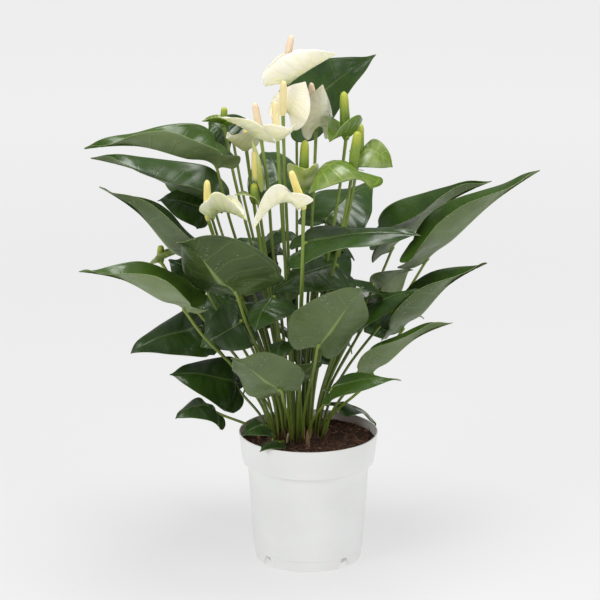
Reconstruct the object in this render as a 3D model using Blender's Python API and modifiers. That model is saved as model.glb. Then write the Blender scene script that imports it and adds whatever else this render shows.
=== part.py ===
"""A potted white anthurium: a nursery pot, its mix, and the leaves and flowers of one crown.

Metres, +Z up. The origin is the middle of the pot's underside, -Y is the front.
"""

import math

import bmesh
import bpy
import numpy as np
from mathutils import Vector
from mathutils.bvhtree import BVHTree

# ---- Driving dimensions -------------------------------------------------------------------
POT_HEIGHT = 0.160
RIM_RADIUS = 0.085
COLLAR_HEIGHT = 0.037
COLLAR_TAPER = 0.0045  # how much narrower the collar is at its lower edge
COLLAR_STEP = 0.006  # from the collar's lower edge in to the body
BODY_TAPER = 0.007  # how much narrower the body is above the foot
FOOT_HEIGHT = 0.013
FOOT_INSET = 0.0015
POT_WALL = 0.0018
POT_LIP = 0.0006  # of the chamfers on the pot's edges
CHANNEL_WIDTH = 0.010  # drain channel under the floor's edge
NOTCH_COUNT = 4
NOTCH_TOP = 0.008
NOTCH_BOTTOM = 0.016
NOTCH_TURN = -3.5  # degrees
TURN_STEPS = 36

SOIL_DEPTH_BELOW_RIM = 0.010
CLEARANCE = 0.0004

CROWN = Vector((-0.014, 0.0))  # where the stems leave the mix
CROWN_RADIUS = Vector((0.046, 0.036))
BASE_LENGTH = 0.006  # a stem's first upright stretch
STEEPEST_LEAN = 1.6  # run over rise of the stems at the crown's edge

BLADE_THICKNESS = 0.0014
PETIOLE_RADIUS = 0.0021
SPATHE_THICKNESS = 0.0014
PEDUNCLE_RADIUS = 0.0024
STEM_POINTS = 8
STEM_GAP = 0.0012  # least space between two stems, or a stem and another leaf's blade
SETTLE_ROUNDS = 60
SETTLE_SHARE = 0.6  # of the wanted move that a round makes
SETTLE_SPREAD = 0.1  # of a point's move that each neighbour takes on
SAMPLES = (0.0, 0.25, 0.5, 0.75)  # places along a stem's segment that are kept off blades
STEM_FIRST_RISE = 0.35  # shares of the rise that shape a stem's curve
STEM_FIRST_LEAN = 0.08
STEM_LAST_REACH = 0.30
STEM_LAST_RISE = 0.06

PLANT_SCALE = 1.0  # of everything above the mix
LEAF_CUP = 0.2  # how much of a half's fall comes by bending, not at the midrib
SPATHE_CUP = 0.65
MIDRIB_POWER = 1.5  # side veins leave the midrib closer together near the joint
VEIN_POWER = 1.4  # how a side vein curves forward
ARCH_POWER = 0.6  # the arch peaks nearer the joint
LOBE_SLOPE = 1.6  # of the arch, behind the joint
LEAF_GRID = (8, 4)  # rows and columns
SPATHE_GRID = (6, 4)
SPADIX = ((0.10, 1.6), (0.4, 1.9), (0.85, 1.6), (1.0, 0.7))  # place, and radius to the stalk's
OLD_SWELL = 1.3  # how much thicker an old flower's spadix is
SPATHE_GAP = 0.0024  # between the spadix and the foot of the spathe
SPATHE_OFFSET = PEDUNCLE_RADIUS * 1.9 + SPATHE_GAP

# ---- Outlines: half width and distance along, as shares of the half width and the length ---
LEAF_OUTLINE = (
    (0.16, -0.05), (0.42, -0.14), (0.78, -0.11), (1.0, 0.06),
    (0.95, 0.26), (0.74, 0.50), (0.38, 0.74), (0.11, 0.91), (0.012, 1.0),
)  # fmt: skip
SPATHE_OUTLINE = (
    (0.32, -0.14), (0.54, -0.36), (0.86, -0.26), (1.0, 0.06),
    (0.86, 0.40), (0.50, 0.72), (0.16, 0.92), (0.02, 1.0),
)  # fmt: skip

# ---- Colours ------------------------------------------------------------------------------
POT_WHITE = (0.80, 0.80, 0.78)
MIX_BROWN = (0.045, 0.022, 0.014)
LEAF_GREEN = (0.030, 0.085, 0.022)
SPATHE_CREAM = (0.80, 0.76, 0.58)
SPATHE_GREEN = (0.28, 0.42, 0.10)
STEM_GREEN = (0.20, 0.34, 0.07)

# ---- Leaves: where the petiole joins, the tip, width, roll, arch of the midrib, and the
#      droop of the left and right halves in degrees, seen from above with the tip ahead.
#      Every place on the plant is measured from the pot's axis and up from the mix --------
LEAVES = {
    "leaf_left_1": ((-0.108, -0.010, 0.337), (-0.262, -0.030, 0.365), 0.106, 0, 0.012, (-36, -36)),
    "leaf_left_2": ((-0.122, 0.030, 0.287), (-0.262, 0.038, 0.341), 0.100, 0, 0.006, (-20, -34)),
    "leaf_left_3": ((-0.134, -0.030, 0.222), (-0.243, -0.055, 0.325), 0.108, 0, 0.002, (-34, -34)),
    "leaf_left_4": ((-0.083, -0.100, 0.206), (-0.146, -0.190, 0.290), 0.130, -46, 0.008, (5, -58)),
    "leaf_left_5": ((-0.142, -0.095, 0.184), (-0.264, -0.105, 0.236), 0.100, 0, 0.008, (-34, -34)),
    "leaf_left_6": ((-0.124, 0.050, 0.182), (-0.172, 0.060, 0.210), 0.090, 35, 0.006, (5, 5)),
    "leaf_left_7": ((-0.128, 0.040, 0.128), (-0.218, 0.030, 0.099), 0.078, 30, 0.010, (15, 5)),
    "leaf_left_8": ((-0.078, -0.056, 0.163), (-0.128, -0.058, 0.133), 0.062, 75, 0.006, (5, 5)),
    "leaf_left_9": ((-0.090, 0.050, 0.052), (-0.172, 0.050, 0.066), 0.085, 30, 0.010, (10, 5)),
    "leaf_left_10": ((-0.114, -0.020, 0.041), (-0.160, -0.040, 0.038), 0.062, 10, 0.012, (20, 10)),
    "leaf_front_1": ((-0.032, -0.100, 0.090), (-0.088, -0.165, 0.150), 0.076, -65, 0.008, (5, -50)),
    "leaf_front_2": ((0.010, -0.110, 0.146), (0.060, -0.185, 0.238), 0.094, 55, 0.006, (-55, 0)),
    "leaf_front_3": ((0.026, -0.118, 0.096), (0.106, -0.133, 0.114), 0.042, -20, 0.010, (10, 10)),
    "leaf_centre_1": ((-0.006, -0.082, 0.259), (0.128, -0.099, 0.277), 0.080, 0, 0.010, (-8, 20)),
    "leaf_centre_2": ((-0.040, -0.060, 0.191), (-0.062, -0.105, 0.164), 0.070, 0, 0.010, (25, 25)),
    "leaf_centre_3": ((-0.030, -0.075, 0.144), (-0.038, -0.100, 0.129), 0.034, 0, 0.004, (20, 20)),
    "leaf_right_1": ((0.104, 0.118, 0.206), (0.228, 0.112, 0.298), 0.110, 0, 0.008, (-40, -30)),
    "leaf_right_2": ((0.142, 0.040, 0.211), (0.278, 0.030, 0.328), 0.108, 0, 0.004, (-36, -34)),
    "leaf_right_3": ((0.112, -0.008, 0.137), (0.212, -0.023, 0.226), 0.098, 0, 0.006, (-38, -32)),
    "leaf_right_4": ((0.074, -0.070, 0.098), (0.167, -0.090, 0.171), 0.074, 0, 0.008, (-30, -40)),
    "leaf_right_5": ((0.088, 0.048, 0.172), (0.128, 0.050, 0.200), 0.072, 50, 0.006, (0, 5)),
    "leaf_right_6": ((0.040, 0.010, 0.142), (0.136, -0.010, 0.190), 0.060, -25, 0.008, (10, 15)),
    "leaf_right_7": ((0.036, 0.060, 0.022), (0.086, 0.090, -0.014), 0.060, 0, 0.010, (10, 10)),
    "leaf_top_1": ((-0.014, 0.066, 0.392), (0.080, 0.036, 0.466), 0.095, -65, 0.004, (5, -10)),
    "leaf_top_2": ((-0.092, 0.075, 0.358), (-0.122, 0.085, 0.376), 0.075, 40, 0.004, (5, 5)),
    "leaf_top_3": ((-0.032, 0.075, 0.290), (-0.055, 0.135, 0.330), 0.085, 0, 0.010, (5, 5)),
    "leaf_top_4": ((0.022, 0.085, 0.250), (0.082, 0.155, 0.286), 0.095, -15, 0.012, (10, 10)),
    "leaf_back_1": ((0.005, 0.095, 0.165), (0.025, 0.205, 0.150), 0.110, 0, 0.020, (15, 15)),
    "leaf_back_2": ((-0.060, 0.090, 0.150), (-0.110, 0.200, 0.130), 0.110, 0, 0.020, (15, 15)),
    "leaf_back_3": ((-0.120, 0.080, 0.286), (-0.186, 0.130, 0.296), 0.090, 0, 0.015, (15, 15)),
    "leaf_back_4": ((0.070, 0.100, 0.120), (0.150, 0.170, 0.105), 0.095, 0, 0.020, (15, 15)),
    "leaf_back_5": ((-0.075, 0.090, 0.055), (-0.140, 0.160, 0.035), 0.090, 0, 0.015, (15, 15)),
    "leaf_back_6": ((-0.010, 0.100, 0.080), (-0.010, 0.205, 0.035), 0.100, 0, 0.020, (15, 15)),
}

# fmt: off
# ---- Open flowers: the top of the stalk, the spathe's tip, its width, roll, arch and the droop
#      of its halves, then the spadix's length and its lean as a direction ---------------------
FLOWERS = {
    "flower_1": (
        (-0.030, -0.020, 0.440), (0.032, -0.012, 0.474), 0.080, 0, 0.002, (-50, -68),
        0.058, (0.15, 0, 1),
    ),
    "flower_2": (
        (0.009, 0.002, 0.386), (0.016, -0.014, 0.438), 0.048, 0, 0.002, (-35, -35),
        0.052, (-0.15, 0.1, 1),
    ),
    "flower_3": (
        (-0.030, -0.040, 0.408), (-0.004, -0.030, 0.444), 0.048, -60, 0.002, (0, 0),
        0.040, (0, -0.2, 1),
    ),
    "flower_4": (
        (-0.036, -0.060, 0.382), (-0.020, -0.090, 0.398), 0.052, 0, 0.000, (-38, -48),
        0.044, (-0.1, 0, 1),
    ),
    "flower_5": (
        (-0.056, -0.030, 0.380), (-0.104, -0.045, 0.406), 0.062, 0, 0.003, (-25, -5),
        0.040, (-0.2, 0, 1),
    ),
    "flower_6": (
        (-0.074, 0.015, 0.356), (-0.096, -0.020, 0.376), 0.058, 0, 0.000, (-55, -40),
        0.030, (0, 0, 1),
    ),
    "flower_7": (
        (-0.116, -0.080, 0.292), (-0.070, -0.092, 0.292), 0.070, 0, 0.010, (-25, -58),
        0.046, (-0.05, 0, 1),
    ),
    "flower_8": (
        (-0.006, -0.165, 0.324), (-0.062, -0.170, 0.300), 0.068, 0, 0.016, (-55, -22),
        0.044, (-0.38, 0, 1),
    ),
}

# ---- Old green flowers, young ones and a bud, in the same terms -----------------------------
SEED_FLOWERS = {
    "old_flower_1": (
        (-0.006, -0.040, 0.319), (-0.004, -0.077, 0.350), 0.074, 0, 0.000, (-54, -54),
        0.058, (0, 0, 1),
    ),
    "old_flower_2": (
        (0.051, -0.052, 0.345), (0.000, -0.082, 0.323), 0.070, 0, 0.018, (32, 15),
        0.045, (0.1, 0, 1),
    ),
    "old_flower_3": (
        (0.060, 0.020, 0.346), (0.100, 0.010, 0.336), 0.060, -20, 0.014, (0, 20),
        0.040, (0, 0, 1),
    ),
    "old_flower_4": (
        (0.044, -0.010, 0.374), (0.024, -0.054, 0.378), 0.066, 0, 0.004, (-58, -52),
        0.055, (-0.08, 0.04, 1),
    ),
    "young_flower_1": (
        (-0.064, -0.050, 0.306), (-0.086, -0.058, 0.316), 0.038, 0, 0.006, (0, 0),
        0.022, (0, 0, 1),
    ),
    "young_flower_2": (
        (-0.102, 0.056, 0.378), (-0.128, 0.051, 0.384), 0.034, 0, 0.002, (-30, -30),
        0.022, (0, 0, 1),
    ),
    "young_flower_3": (
        (-0.178, 0.010, 0.220), (-0.150, 0.005, 0.234), 0.030, 0, 0.002, (-35, -35),
        0.020, (0, 0, 1),
    ),
    "flower_bud": (
        (-0.062, -0.030, 0.330), (-0.066, -0.030, 0.376), 0.022, 0, 0.000, (-65, -65),
        0.034, (-0.06, 0, 1),
    ),
}


# fmt: on
# ---- Helpers ------------------------------------------------------------------------------
def material(name, colour, roughness):
    made = bpy.data.materials.new(name)
    made.use_nodes = True
    shader = made.node_tree.nodes["Principled BSDF"]
    shader.inputs["Base Color"].default_value = (*colour, 1.0)
    shader.inputs["Roughness"].default_value = roughness
    return made


def new_collection(name):
    made = bpy.data.collections.new(name)
    bpy.context.scene.collection.children.link(made)
    return made


def new_object(name, data, collection):
    made = bpy.data.objects.new(name, data)
    collection.objects.link(made)
    return made


def as_helper(obj):
    obj.hide_render = True
    obj.display_type = "WIRE"
    return obj


def add_boolean(obj, other, operation):
    modifier = obj.modifiers.new(operation.lower(), "BOOLEAN")
    modifier.operation = operation
    modifier.solver = "EXACT"
    modifier.object = other


def spline_point(points, place):
    """The point at 0..1 along a smooth curve through the points (Catmull-Rom)."""
    scaled = place * (len(points) - 1)
    index = min(int(scaled), len(points) - 2)
    share = scaled - index
    before = points[max(index - 1, 0)]
    start, end = points[index], points[index + 1]
    after = points[min(index + 2, len(points) - 1)]
    return [
        0.5
        * (
            2 * b
            + (c - a) * share
            + (2 * a - 5 * b + 4 * c - d) * share**2
            + (3 * b - a - 3 * c + d) * share**3
        )
        for a, b, c, d in zip(before, start, end, after)
    ]


def tube(name, points, radii, collection):
    """A closed tube through the points, as a mesh object."""
    curve = bpy.data.curves.new(name, "CURVE")
    curve.dimensions = "3D"
    curve.bevel_depth = 1.0
    curve.bevel_resolution = 1
    curve.use_fill_caps = True
    spline = curve.splines.new("POLY")
    spline.points.add(len(points) - 1)
    for spline_end, point, radius in zip(spline.points, points, radii):
        spline_end.co = (*point, 1.0)
        spline_end.radius = radius
    guide = new_object(name + "_curve", curve, collection)
    graph = bpy.context.evaluated_depsgraph_get()
    mesh = bpy.data.meshes.new_from_object(guide.evaluated_get(graph))
    bpy.data.objects.remove(guide)
    weld = bmesh.new()
    weld.from_mesh(mesh)
    bmesh.ops.remove_doubles(weld, verts=weld.verts, dist=1e-6)
    weld.to_mesh(mesh)
    weld.free()
    return new_object(name, mesh, collection)


# ---- Leaf-like blades -----------------------------------------------------------------------
def blade_axes(joint, tip, roll):
    """Along, to the right, and up, for a blade from its joint to its tip."""
    along = (tip - joint).normalized()
    level = along.cross(Vector((0, 0, 1))).normalized()
    upward = level.cross(along)
    turn = math.radians(roll)
    side = level * math.cos(turn) + upward * math.sin(turn)
    return along, side, side.cross(along)


def midrib_height(along, length, arch):
    """Height of the midrib over the line from joint to tip; it peaks nearer the joint."""
    share = max(along / length, 0.0) ** ARCH_POWER
    if along < 0:
        return arch * LOBE_SLOPE * along / length
    return 4 * arch * share * (1 - share)


def cross_curve(share, fall, cup):
    """How far out and down a half's section runs; cup is how much of its fall comes by bending."""
    start, gain = fall * (1 - cup), 2 * fall * cup
    if abs(gain) < 1e-4:
        return share * math.cos(start), share * math.sin(start)
    end = start + gain * share
    return (math.sin(end) - math.sin(start)) / gain, (math.cos(start) - math.cos(end)) / gain


def blade_point(place, across, outline, shape):
    """A point of the blade: place runs 0..1 from the sinus to the tip, across -1..1."""
    joint, tip, width, roll, arch, droop, cup = shape
    length = (tip - joint).length
    out, forward = spline_point(outline, place)
    root = length * place**MIDRIB_POWER
    share = abs(across)
    reach = out * width / 2
    ahead = root + (forward * length - root) * share**VEIN_POWER
    fall = math.radians(droop[0] if across < 0 else droop[1])
    outward, down = cross_curve(share, fall, cup)
    sideways = math.copysign(outward * reach, across)
    height = midrib_height(ahead, length, arch) - down * reach
    axes = blade_axes(joint, tip, roll)
    return joint + axes[0] * ahead + axes[1] * sideways + axes[2] * height


def blade_sheet(name, outline, shape, grid, thickness, collection):
    """The blade as an open sheet on a grid, given its thickness by Solidify."""
    sheet = bmesh.new()
    bmesh.ops.create_grid(sheet, x_segments=grid[1], y_segments=grid[0], size=1.0)
    for vertex in sheet.verts:
        across, place = vertex.co.x, (vertex.co.y + 1) / 2
        vertex.co = blade_point(place, across, outline, shape)
    mesh = bpy.data.meshes.new(name)
    sheet.to_mesh(mesh)
    sheet.free()
    blade = new_object(name, mesh, collection)
    solid = blade.modifiers.new("thickness", "SOLIDIFY")
    solid.thickness = thickness
    solid.offset = 0.0
    return blade


# ---- Stems --------------------------------------------------------------------------------
def soil_top():
    return POT_HEIGHT - SOIL_DEPTH_BELOW_RIM


def stem_root(top):
    """Where a stem leaves the mix: the further it leans out, the further from the middle."""
    outward = Vector((top.x, top.y)) - CROWN
    lean = math.sqrt(min(outward.length / (top.z - soil_top()) / STEEPEST_LEAN, 1.0))
    direction = outward.normalized()
    return Vector(
        (
            CROWN.x + direction.x * CROWN_RADIUS.x * lean,
            CROWN.y + direction.y * CROWN_RADIUS.y * lean,
            soil_top() + CLEARANCE,
        )
    )


def stem_path(top):
    """Points of a stem from the mix to its top: upright at first, then leaning out."""
    foot = stem_root(top)
    start = foot + Vector((0, 0, BASE_LENGTH))
    rise = top - start
    first = start + Vector((0, 0, rise.z * STEM_FIRST_RISE)) + rise * STEM_FIRST_LEAN
    second = top - rise * STEM_LAST_REACH - Vector((0, 0, rise.z * STEM_LAST_RISE))
    path = [foot]
    for step in range(STEM_POINTS - 1):
        share = step / (STEM_POINTS - 2)
        back = 1 - share
        path.append(
            start * back**3
            + first * 3 * back**2 * share
            + second * 3 * back * share**2
            + top * share**3
        )
    return path


def nearest_places(starts, runs, other_starts, other_runs):
    """Where along each segment of one set it comes nearest to its partner in the other, 0..1."""
    between = starts - other_starts
    own, other = (runs * runs).sum(1), (other_runs * other_runs).sum(1)
    cross = (runs * other_runs).sum(1)
    ahead, behind = (runs * between).sum(1), (other_runs * between).sum(1)
    spread = np.maximum(own * other - cross * cross, 1e-12)
    place = np.clip((cross * behind - ahead * other) / spread, 0, 1)
    partner = np.clip((cross * place + behind) / other, 0, 1)
    place = np.clip((cross * partner - ahead) / own, 0, 1)
    return place, partner


def push_stems_apart(points, radii, moves):
    """Adds to moves what takes each pair of stems that come too near to half its missing gap."""
    count, last = points.shape[0], points.shape[1] - 1
    one, two = np.triu_indices(count, 1)
    for step in range(last * last):
        a, b = divmod(step, last)
        starts, other_starts = points[one, a], points[two, b]
        runs, other_runs = points[one, a + 1] - starts, points[two, b + 1] - other_starts
        place, partner = nearest_places(starts, runs, other_starts, other_runs)
        apart = starts + runs * place[:, None] - other_starts - other_runs * partner[:, None]
        distance = np.maximum(np.linalg.norm(apart, axis=1), 1e-6)
        missing = radii[one] + radii[two] + STEM_GAP - distance
        near = missing > 0
        push = (apart[near].T * missing[near] / distance[near] * 0.5).T
        place, partner = place[near, None], partner[near, None]
        np.add.at(moves, (one[near], a), push * (1 - place))
        np.add.at(moves, (one[near], a + 1), push * place)
        np.add.at(moves, (two[near], b), -push * (1 - partner))
        np.add.at(moves, (two[near], b + 1), -push * partner)


def push_off_blades(points, radii, names, blades, moves):
    """Adds to moves what takes stems clear of the blades that are not their own."""
    for index, name in enumerate(names):
        need = radii[index] + BLADE_THICKNESS / 2 + STEM_GAP
        for step in range(points.shape[1] - 1):
            for share in SAMPLES:
                place = Vector(points[index, step] * (1 - share) + points[index, step + 1] * share)
                for owner, tree in blades.items():
                    found = tree.find_nearest(place, need) if owner != name else (None,)
                    if found[0] is None or found[3] < 1e-6:
                        continue
                    push = np.array((place - found[0]) * ((need - found[3]) / found[3]))
                    moves[index, step] += push * (1 - share)
                    moves[index, step + 1] += push * share


def settled_stems(tops, radii, blades):
    """Every stem's points, bent a little so that none touches another or a strange blade."""
    names = list(tops)
    points = np.array([[tuple(point) for point in stem_path(tops[name])] for name in names])
    thick = np.array([radii[name] for name in names])
    for _ in range(SETTLE_ROUNDS):
        moves = np.zeros_like(points)
        push_stems_apart(points, thick, moves)
        push_off_blades(points, thick, names, blades, moves)
        moves[:, 0] = moves[:, 0] + moves[:, 1]
        moves[:, :2, 2] = 0
        moves[:, 1] = moves[:, 0]
        beside = moves[:, 1:-2] + moves[:, 3:]
        moves[:, 2:-1] = moves[:, 2:-1] * (1 - 2 * SETTLE_SPREAD) + beside * SETTLE_SPREAD
        moves[:, -1] = 0
        points += moves * SETTLE_SHARE
    return {name: [Vector(point) for point in path] for name, path in zip(names, points)}


# ---- Pieces -------------------------------------------------------------------------------
def scaled(point):
    """A place on the plant, grown or shrunk about the crown and standing on the mix."""
    middle = Vector((CROWN.x, CROWN.y, 0))
    grown = middle + (Vector(point) - middle) * PLANT_SCALE
    return grown + Vector((0, 0, soil_top()))


def leaf_shape(row):
    joint, tip, width, roll, arch, droop = row
    size = PLANT_SCALE
    return scaled(joint), scaled(tip), width * size, roll, arch * size, droop, LEAF_CUP


def spathe_shape(row, offset):
    """The spathe's shape; its joint stands off the stalk by the offset."""
    joint, tip, *rest = leaf_shape(row[:6])
    spadix = Vector(row[7]).normalized()
    away = tip - joint
    away -= spadix * away.dot(spadix)
    return joint + away.normalized() * offset, tip, *rest[:4], SPATHE_CUP


def blade_tree(outline, shape, rows, columns):
    """The blade's faces, for finding what is nearest to a stem."""
    points = [
        blade_point(row / rows, 2 * column / columns - 1, outline, shape)
        for row in range(rows + 1)
        for column in range(columns + 1)
    ]
    faces = []
    for row in range(rows):
        for column in range(columns):
            corner = row * (columns + 1) + column
            faces.append((corner, corner + 1, corner + columns + 2, corner + columns + 1))
    return BVHTree.FromPolygons(points, faces)


def make_leaf(name, row, path, look, parts, helpers):
    shape = leaf_shape(row)
    blade = blade_sheet(name, LEAF_OUTLINE, shape, LEAF_GRID, BLADE_THICKNESS, parts)
    blade.data.materials.append(look)
    rib = blade_point(1 / LEAF_GRID[0], 0, LEAF_OUTLINE, shape)
    radii = [PETIOLE_RADIUS] * len(path) + [PETIOLE_RADIUS * 0.5]
    petiole = as_helper(tube(name + "_petiole", path + [rib], radii, helpers))
    petiole.data.materials.append(look)
    add_boolean(blade, petiole, "UNION")


def flower_stem(name, row, path, swell, collection):
    """The peduncle and the spadix that ends it, one grown piece."""
    length, lean = row[6:]
    direction = Vector(lean).normalized() * length * PLANT_SCALE
    spadix = [path[-1] + direction * share for share, _ in SPADIX]
    radii = [PEDUNCLE_RADIUS] * len(path) + [PEDUNCLE_RADIUS * swell * share for _, share in SPADIX]
    return tube(name, path + spadix, radii, collection)


def make_flower(name, row, path, looks, parts):
    stem = flower_stem(name + "_stem", row, path, 1.0, parts)
    stem.data.materials.append(looks[0])
    shape = spathe_shape(row, SPATHE_OFFSET)
    spathe = blade_sheet(name + "_spathe", SPATHE_OUTLINE, shape, SPATHE_GRID, SPATHE_THICKNESS, parts)
    spathe.data.materials.append(looks[1])


def make_seed_flower(name, row, path, look, parts, helpers):
    shape = spathe_shape(row, 0)
    spathe = blade_sheet(name, SPATHE_OUTLINE, shape, SPATHE_GRID, SPATHE_THICKNESS, parts)
    spathe.data.materials.append(look)
    swell = OLD_SWELL if name.startswith("old") else 1.0
    stem = as_helper(flower_stem(name + "_stalk", row, path, swell, helpers))
    stem.data.materials.append(look)
    add_boolean(spathe, stem, "UNION")


def turned(name, profile, collection):
    """A solid of revolution about Z from a profile of (radius, height), top to bottom."""
    sheet = bmesh.new()
    points = [sheet.verts.new((radius, 0, height)) for radius, height in profile]
    for first, second in zip(points, points[1:]):
        sheet.edges.new((first, second))
    mesh = bpy.data.meshes.new(name)
    sheet.to_mesh(mesh)
    sheet.free()
    made = new_object(name, mesh, collection)
    screw = made.modifiers.new("turn", "SCREW")
    screw.steps = TURN_STEPS
    screw.render_steps = TURN_STEPS
    screw.use_merge_vertices = True
    screw.merge_threshold = 1e-5
    screw.use_smooth_shade = True
    return made


def body_radius(height):
    """Outer radius of the pot's body, between the foot and the collar."""
    top_radius = RIM_RADIUS - COLLAR_TAPER - COLLAR_STEP
    share = (height - FOOT_HEIGHT) / (POT_HEIGHT - COLLAR_HEIGHT - FOOT_HEIGHT)
    return top_radius - BODY_TAPER * (1 - share)


def collar_radius(height):
    share = (POT_HEIGHT - height) / COLLAR_HEIGHT
    return RIM_RADIUS - COLLAR_TAPER * share


def make_pot(look, parts, helpers):
    step = POT_HEIGHT - COLLAR_HEIGHT
    foot = body_radius(FOOT_HEIGHT) - FOOT_INSET
    plate = foot - POT_WALL - CHANNEL_WIDTH
    profile = [
        (0, POT_WALL),
        (plate - POT_WALL, POT_WALL),
        (plate - POT_WALL, FOOT_HEIGHT + POT_WALL),
        (body_radius(FOOT_HEIGHT + POT_WALL) - POT_WALL, FOOT_HEIGHT + POT_WALL),
        (body_radius(step) - POT_WALL, step + POT_WALL),
        (collar_radius(step) - POT_WALL, step + POT_WALL),
        (RIM_RADIUS - POT_WALL, POT_HEIGHT - POT_LIP),
        (RIM_RADIUS - POT_WALL + POT_LIP, POT_HEIGHT),
        (RIM_RADIUS - POT_LIP, POT_HEIGHT),
        (RIM_RADIUS, POT_HEIGHT - POT_LIP),
        (collar_radius(step), step + POT_LIP),
        (collar_radius(step) - POT_LIP, step),
        (body_radius(step), step),
        (body_radius(FOOT_HEIGHT), FOOT_HEIGHT + POT_LIP),
        (foot, FOOT_HEIGHT - POT_LIP),
        (foot - POT_LIP, 0),
        (foot - POT_WALL, 0),
        (foot - POT_WALL, FOOT_HEIGHT),
        (plate, FOOT_HEIGHT),
        (plate, 0),
        (0, 0),
    ]
    pot = turned("pot", profile, parts)
    pot.data.materials.append(look)
    for index in range(NOTCH_COUNT):
        turn = math.radians(45 + NOTCH_TURN) + index * math.tau / NOTCH_COUNT
        add_boolean(pot, notch_cutter(index, turn, foot, helpers), "DIFFERENCE")


def notch_cutter(index, turn, foot, helpers):
    """A trapezoid bar through the foot's wall, wide at the bottom."""
    below = 0.002
    top = FOOT_HEIGHT - POT_WALL / 2
    spread = (NOTCH_BOTTOM - NOTCH_TOP) / 2 / top
    low = NOTCH_BOTTOM / 2 + spread * below
    bar = bmesh.new()
    bmesh.ops.create_cube(bar, size=1.0)
    for corner in bar.verts:
        half = NOTCH_TOP / 2 if corner.co.z > 0 else low
        corner.co.y = math.copysign(half, corner.co.y)
        corner.co.z = top if corner.co.z > 0 else -below
        corner.co.x = foot - POT_WALL - CHANNEL_WIDTH / 2 if corner.co.x < 0 else foot + POT_WALL
    mesh = bpy.data.meshes.new(f"notch_{index}")
    bar.to_mesh(mesh)
    bar.free()
    cutter = as_helper(new_object(f"notch_{index}", mesh, helpers))
    cutter.rotation_euler.z = turn
    return cutter


def make_soil(look, parts):
    step = POT_HEIGHT - COLLAR_HEIGHT
    floor = POT_WALL + CLEARANCE
    ledge = FOOT_HEIGHT + POT_WALL + CLEARANCE
    gap = POT_WALL + CLEARANCE
    plate = body_radius(FOOT_HEIGHT) - FOOT_INSET - POT_WALL - CHANNEL_WIDTH - gap
    profile = [
        (0, soil_top()),
        (collar_radius(soil_top()) - gap, soil_top()),
        (collar_radius(step + gap) - gap, step + gap),
        (body_radius(step) - gap, step + gap),
        (body_radius(ledge) - gap, ledge),
        (plate, ledge),
        (plate, floor),
        (0, floor),
    ]
    turned("soil", profile, parts).data.materials.append(look)


def plant_blades():
    """Every blade and spathe as a tree, named for the stem that carries it."""
    trees = {name: blade_tree(LEAF_OUTLINE, leaf_shape(row), *LEAF_GRID) for name, row in LEAVES.items()}
    for name, row in FLOWERS.items():
        trees[name] = blade_tree(SPATHE_OUTLINE, spathe_shape(row, SPATHE_OFFSET), *SPATHE_GRID)
    for name, row in SEED_FLOWERS.items():
        trees[name] = blade_tree(SPATHE_OUTLINE, spathe_shape(row, 0), *SPATHE_GRID)
    return trees


def plant_stems():
    rows = {**LEAVES, **FLOWERS, **SEED_FLOWERS}
    tops = {name: scaled(row[0]) for name, row in rows.items()}
    radii = {name: PETIOLE_RADIUS if name in LEAVES else PEDUNCLE_RADIUS for name in rows}
    return settled_stems(tops, radii, plant_blades())


def main():
    for obj in list(bpy.data.objects):
        bpy.data.objects.remove(obj)
    parts = new_collection("potted_anthurium")
    helpers = new_collection("helpers")
    make_pot(material("pot_plastic", POT_WHITE, 0.4), parts, helpers)
    make_soil(material("potting_mix", MIX_BROWN, 0.95), parts)
    leaf_look = material("leaf", LEAF_GREEN, 0.35)
    stem_look = material("stem", STEM_GREEN, 0.4)
    spathe_look = material("spathe", SPATHE_CREAM, 0.4)
    green_look = material("old_spathe", SPATHE_GREEN, 0.4)
    stems = plant_stems()
    for name, row in LEAVES.items():
        make_leaf(name, row, stems[name], leaf_look, parts, helpers)
    for name, row in FLOWERS.items():
        make_flower(name, row, stems[name], (stem_look, spathe_look), parts)
    for name, row in SEED_FLOWERS.items():
        make_seed_flower(name, row, stems[name], green_look, parts, helpers)


main()
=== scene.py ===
"""The looks of the potted white anthurium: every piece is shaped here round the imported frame.

Metres, +Z up, -Y to the front. The driving dimensions and the tables are the model's own.
"""

import math
import random

import bmesh
import bpy
import numpy as np
from mathutils import Matrix, Vector, noise
from mathutils.bvhtree import BVHTree


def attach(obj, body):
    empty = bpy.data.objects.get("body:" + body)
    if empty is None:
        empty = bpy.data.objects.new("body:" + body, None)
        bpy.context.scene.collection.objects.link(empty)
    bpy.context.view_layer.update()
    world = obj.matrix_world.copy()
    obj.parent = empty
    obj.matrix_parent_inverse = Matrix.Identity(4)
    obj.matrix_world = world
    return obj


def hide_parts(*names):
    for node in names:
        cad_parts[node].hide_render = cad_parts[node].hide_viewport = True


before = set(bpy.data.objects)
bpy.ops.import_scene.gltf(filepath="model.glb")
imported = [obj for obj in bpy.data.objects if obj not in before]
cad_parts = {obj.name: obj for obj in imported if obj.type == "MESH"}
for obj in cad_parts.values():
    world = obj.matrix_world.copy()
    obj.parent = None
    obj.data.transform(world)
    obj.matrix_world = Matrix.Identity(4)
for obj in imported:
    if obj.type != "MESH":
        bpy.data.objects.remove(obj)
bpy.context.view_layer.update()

# Driving dimensions, as in the model
POT_HEIGHT = 0.160
RIM_RADIUS = 0.085
COLLAR_HEIGHT = 0.037
COLLAR_TAPER = 0.0045  # how much narrower the collar is at its lower edge
COLLAR_STEP = 0.006  # from the collar's lower edge in to the body
BODY_TAPER = 0.007  # how much narrower the body is above the foot
FOOT_HEIGHT = 0.013
FOOT_INSET = 0.0015
POT_WALL = 0.0018
POT_LIP = 0.0006  # of the chamfers on the pot's edges
CHANNEL_WIDTH = 0.010  # drain channel under the floor's edge
NOTCH_COUNT = 4
NOTCH_TOP = 0.008
NOTCH_BOTTOM = 0.016
NOTCH_TURN = -3.5  # degrees

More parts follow.
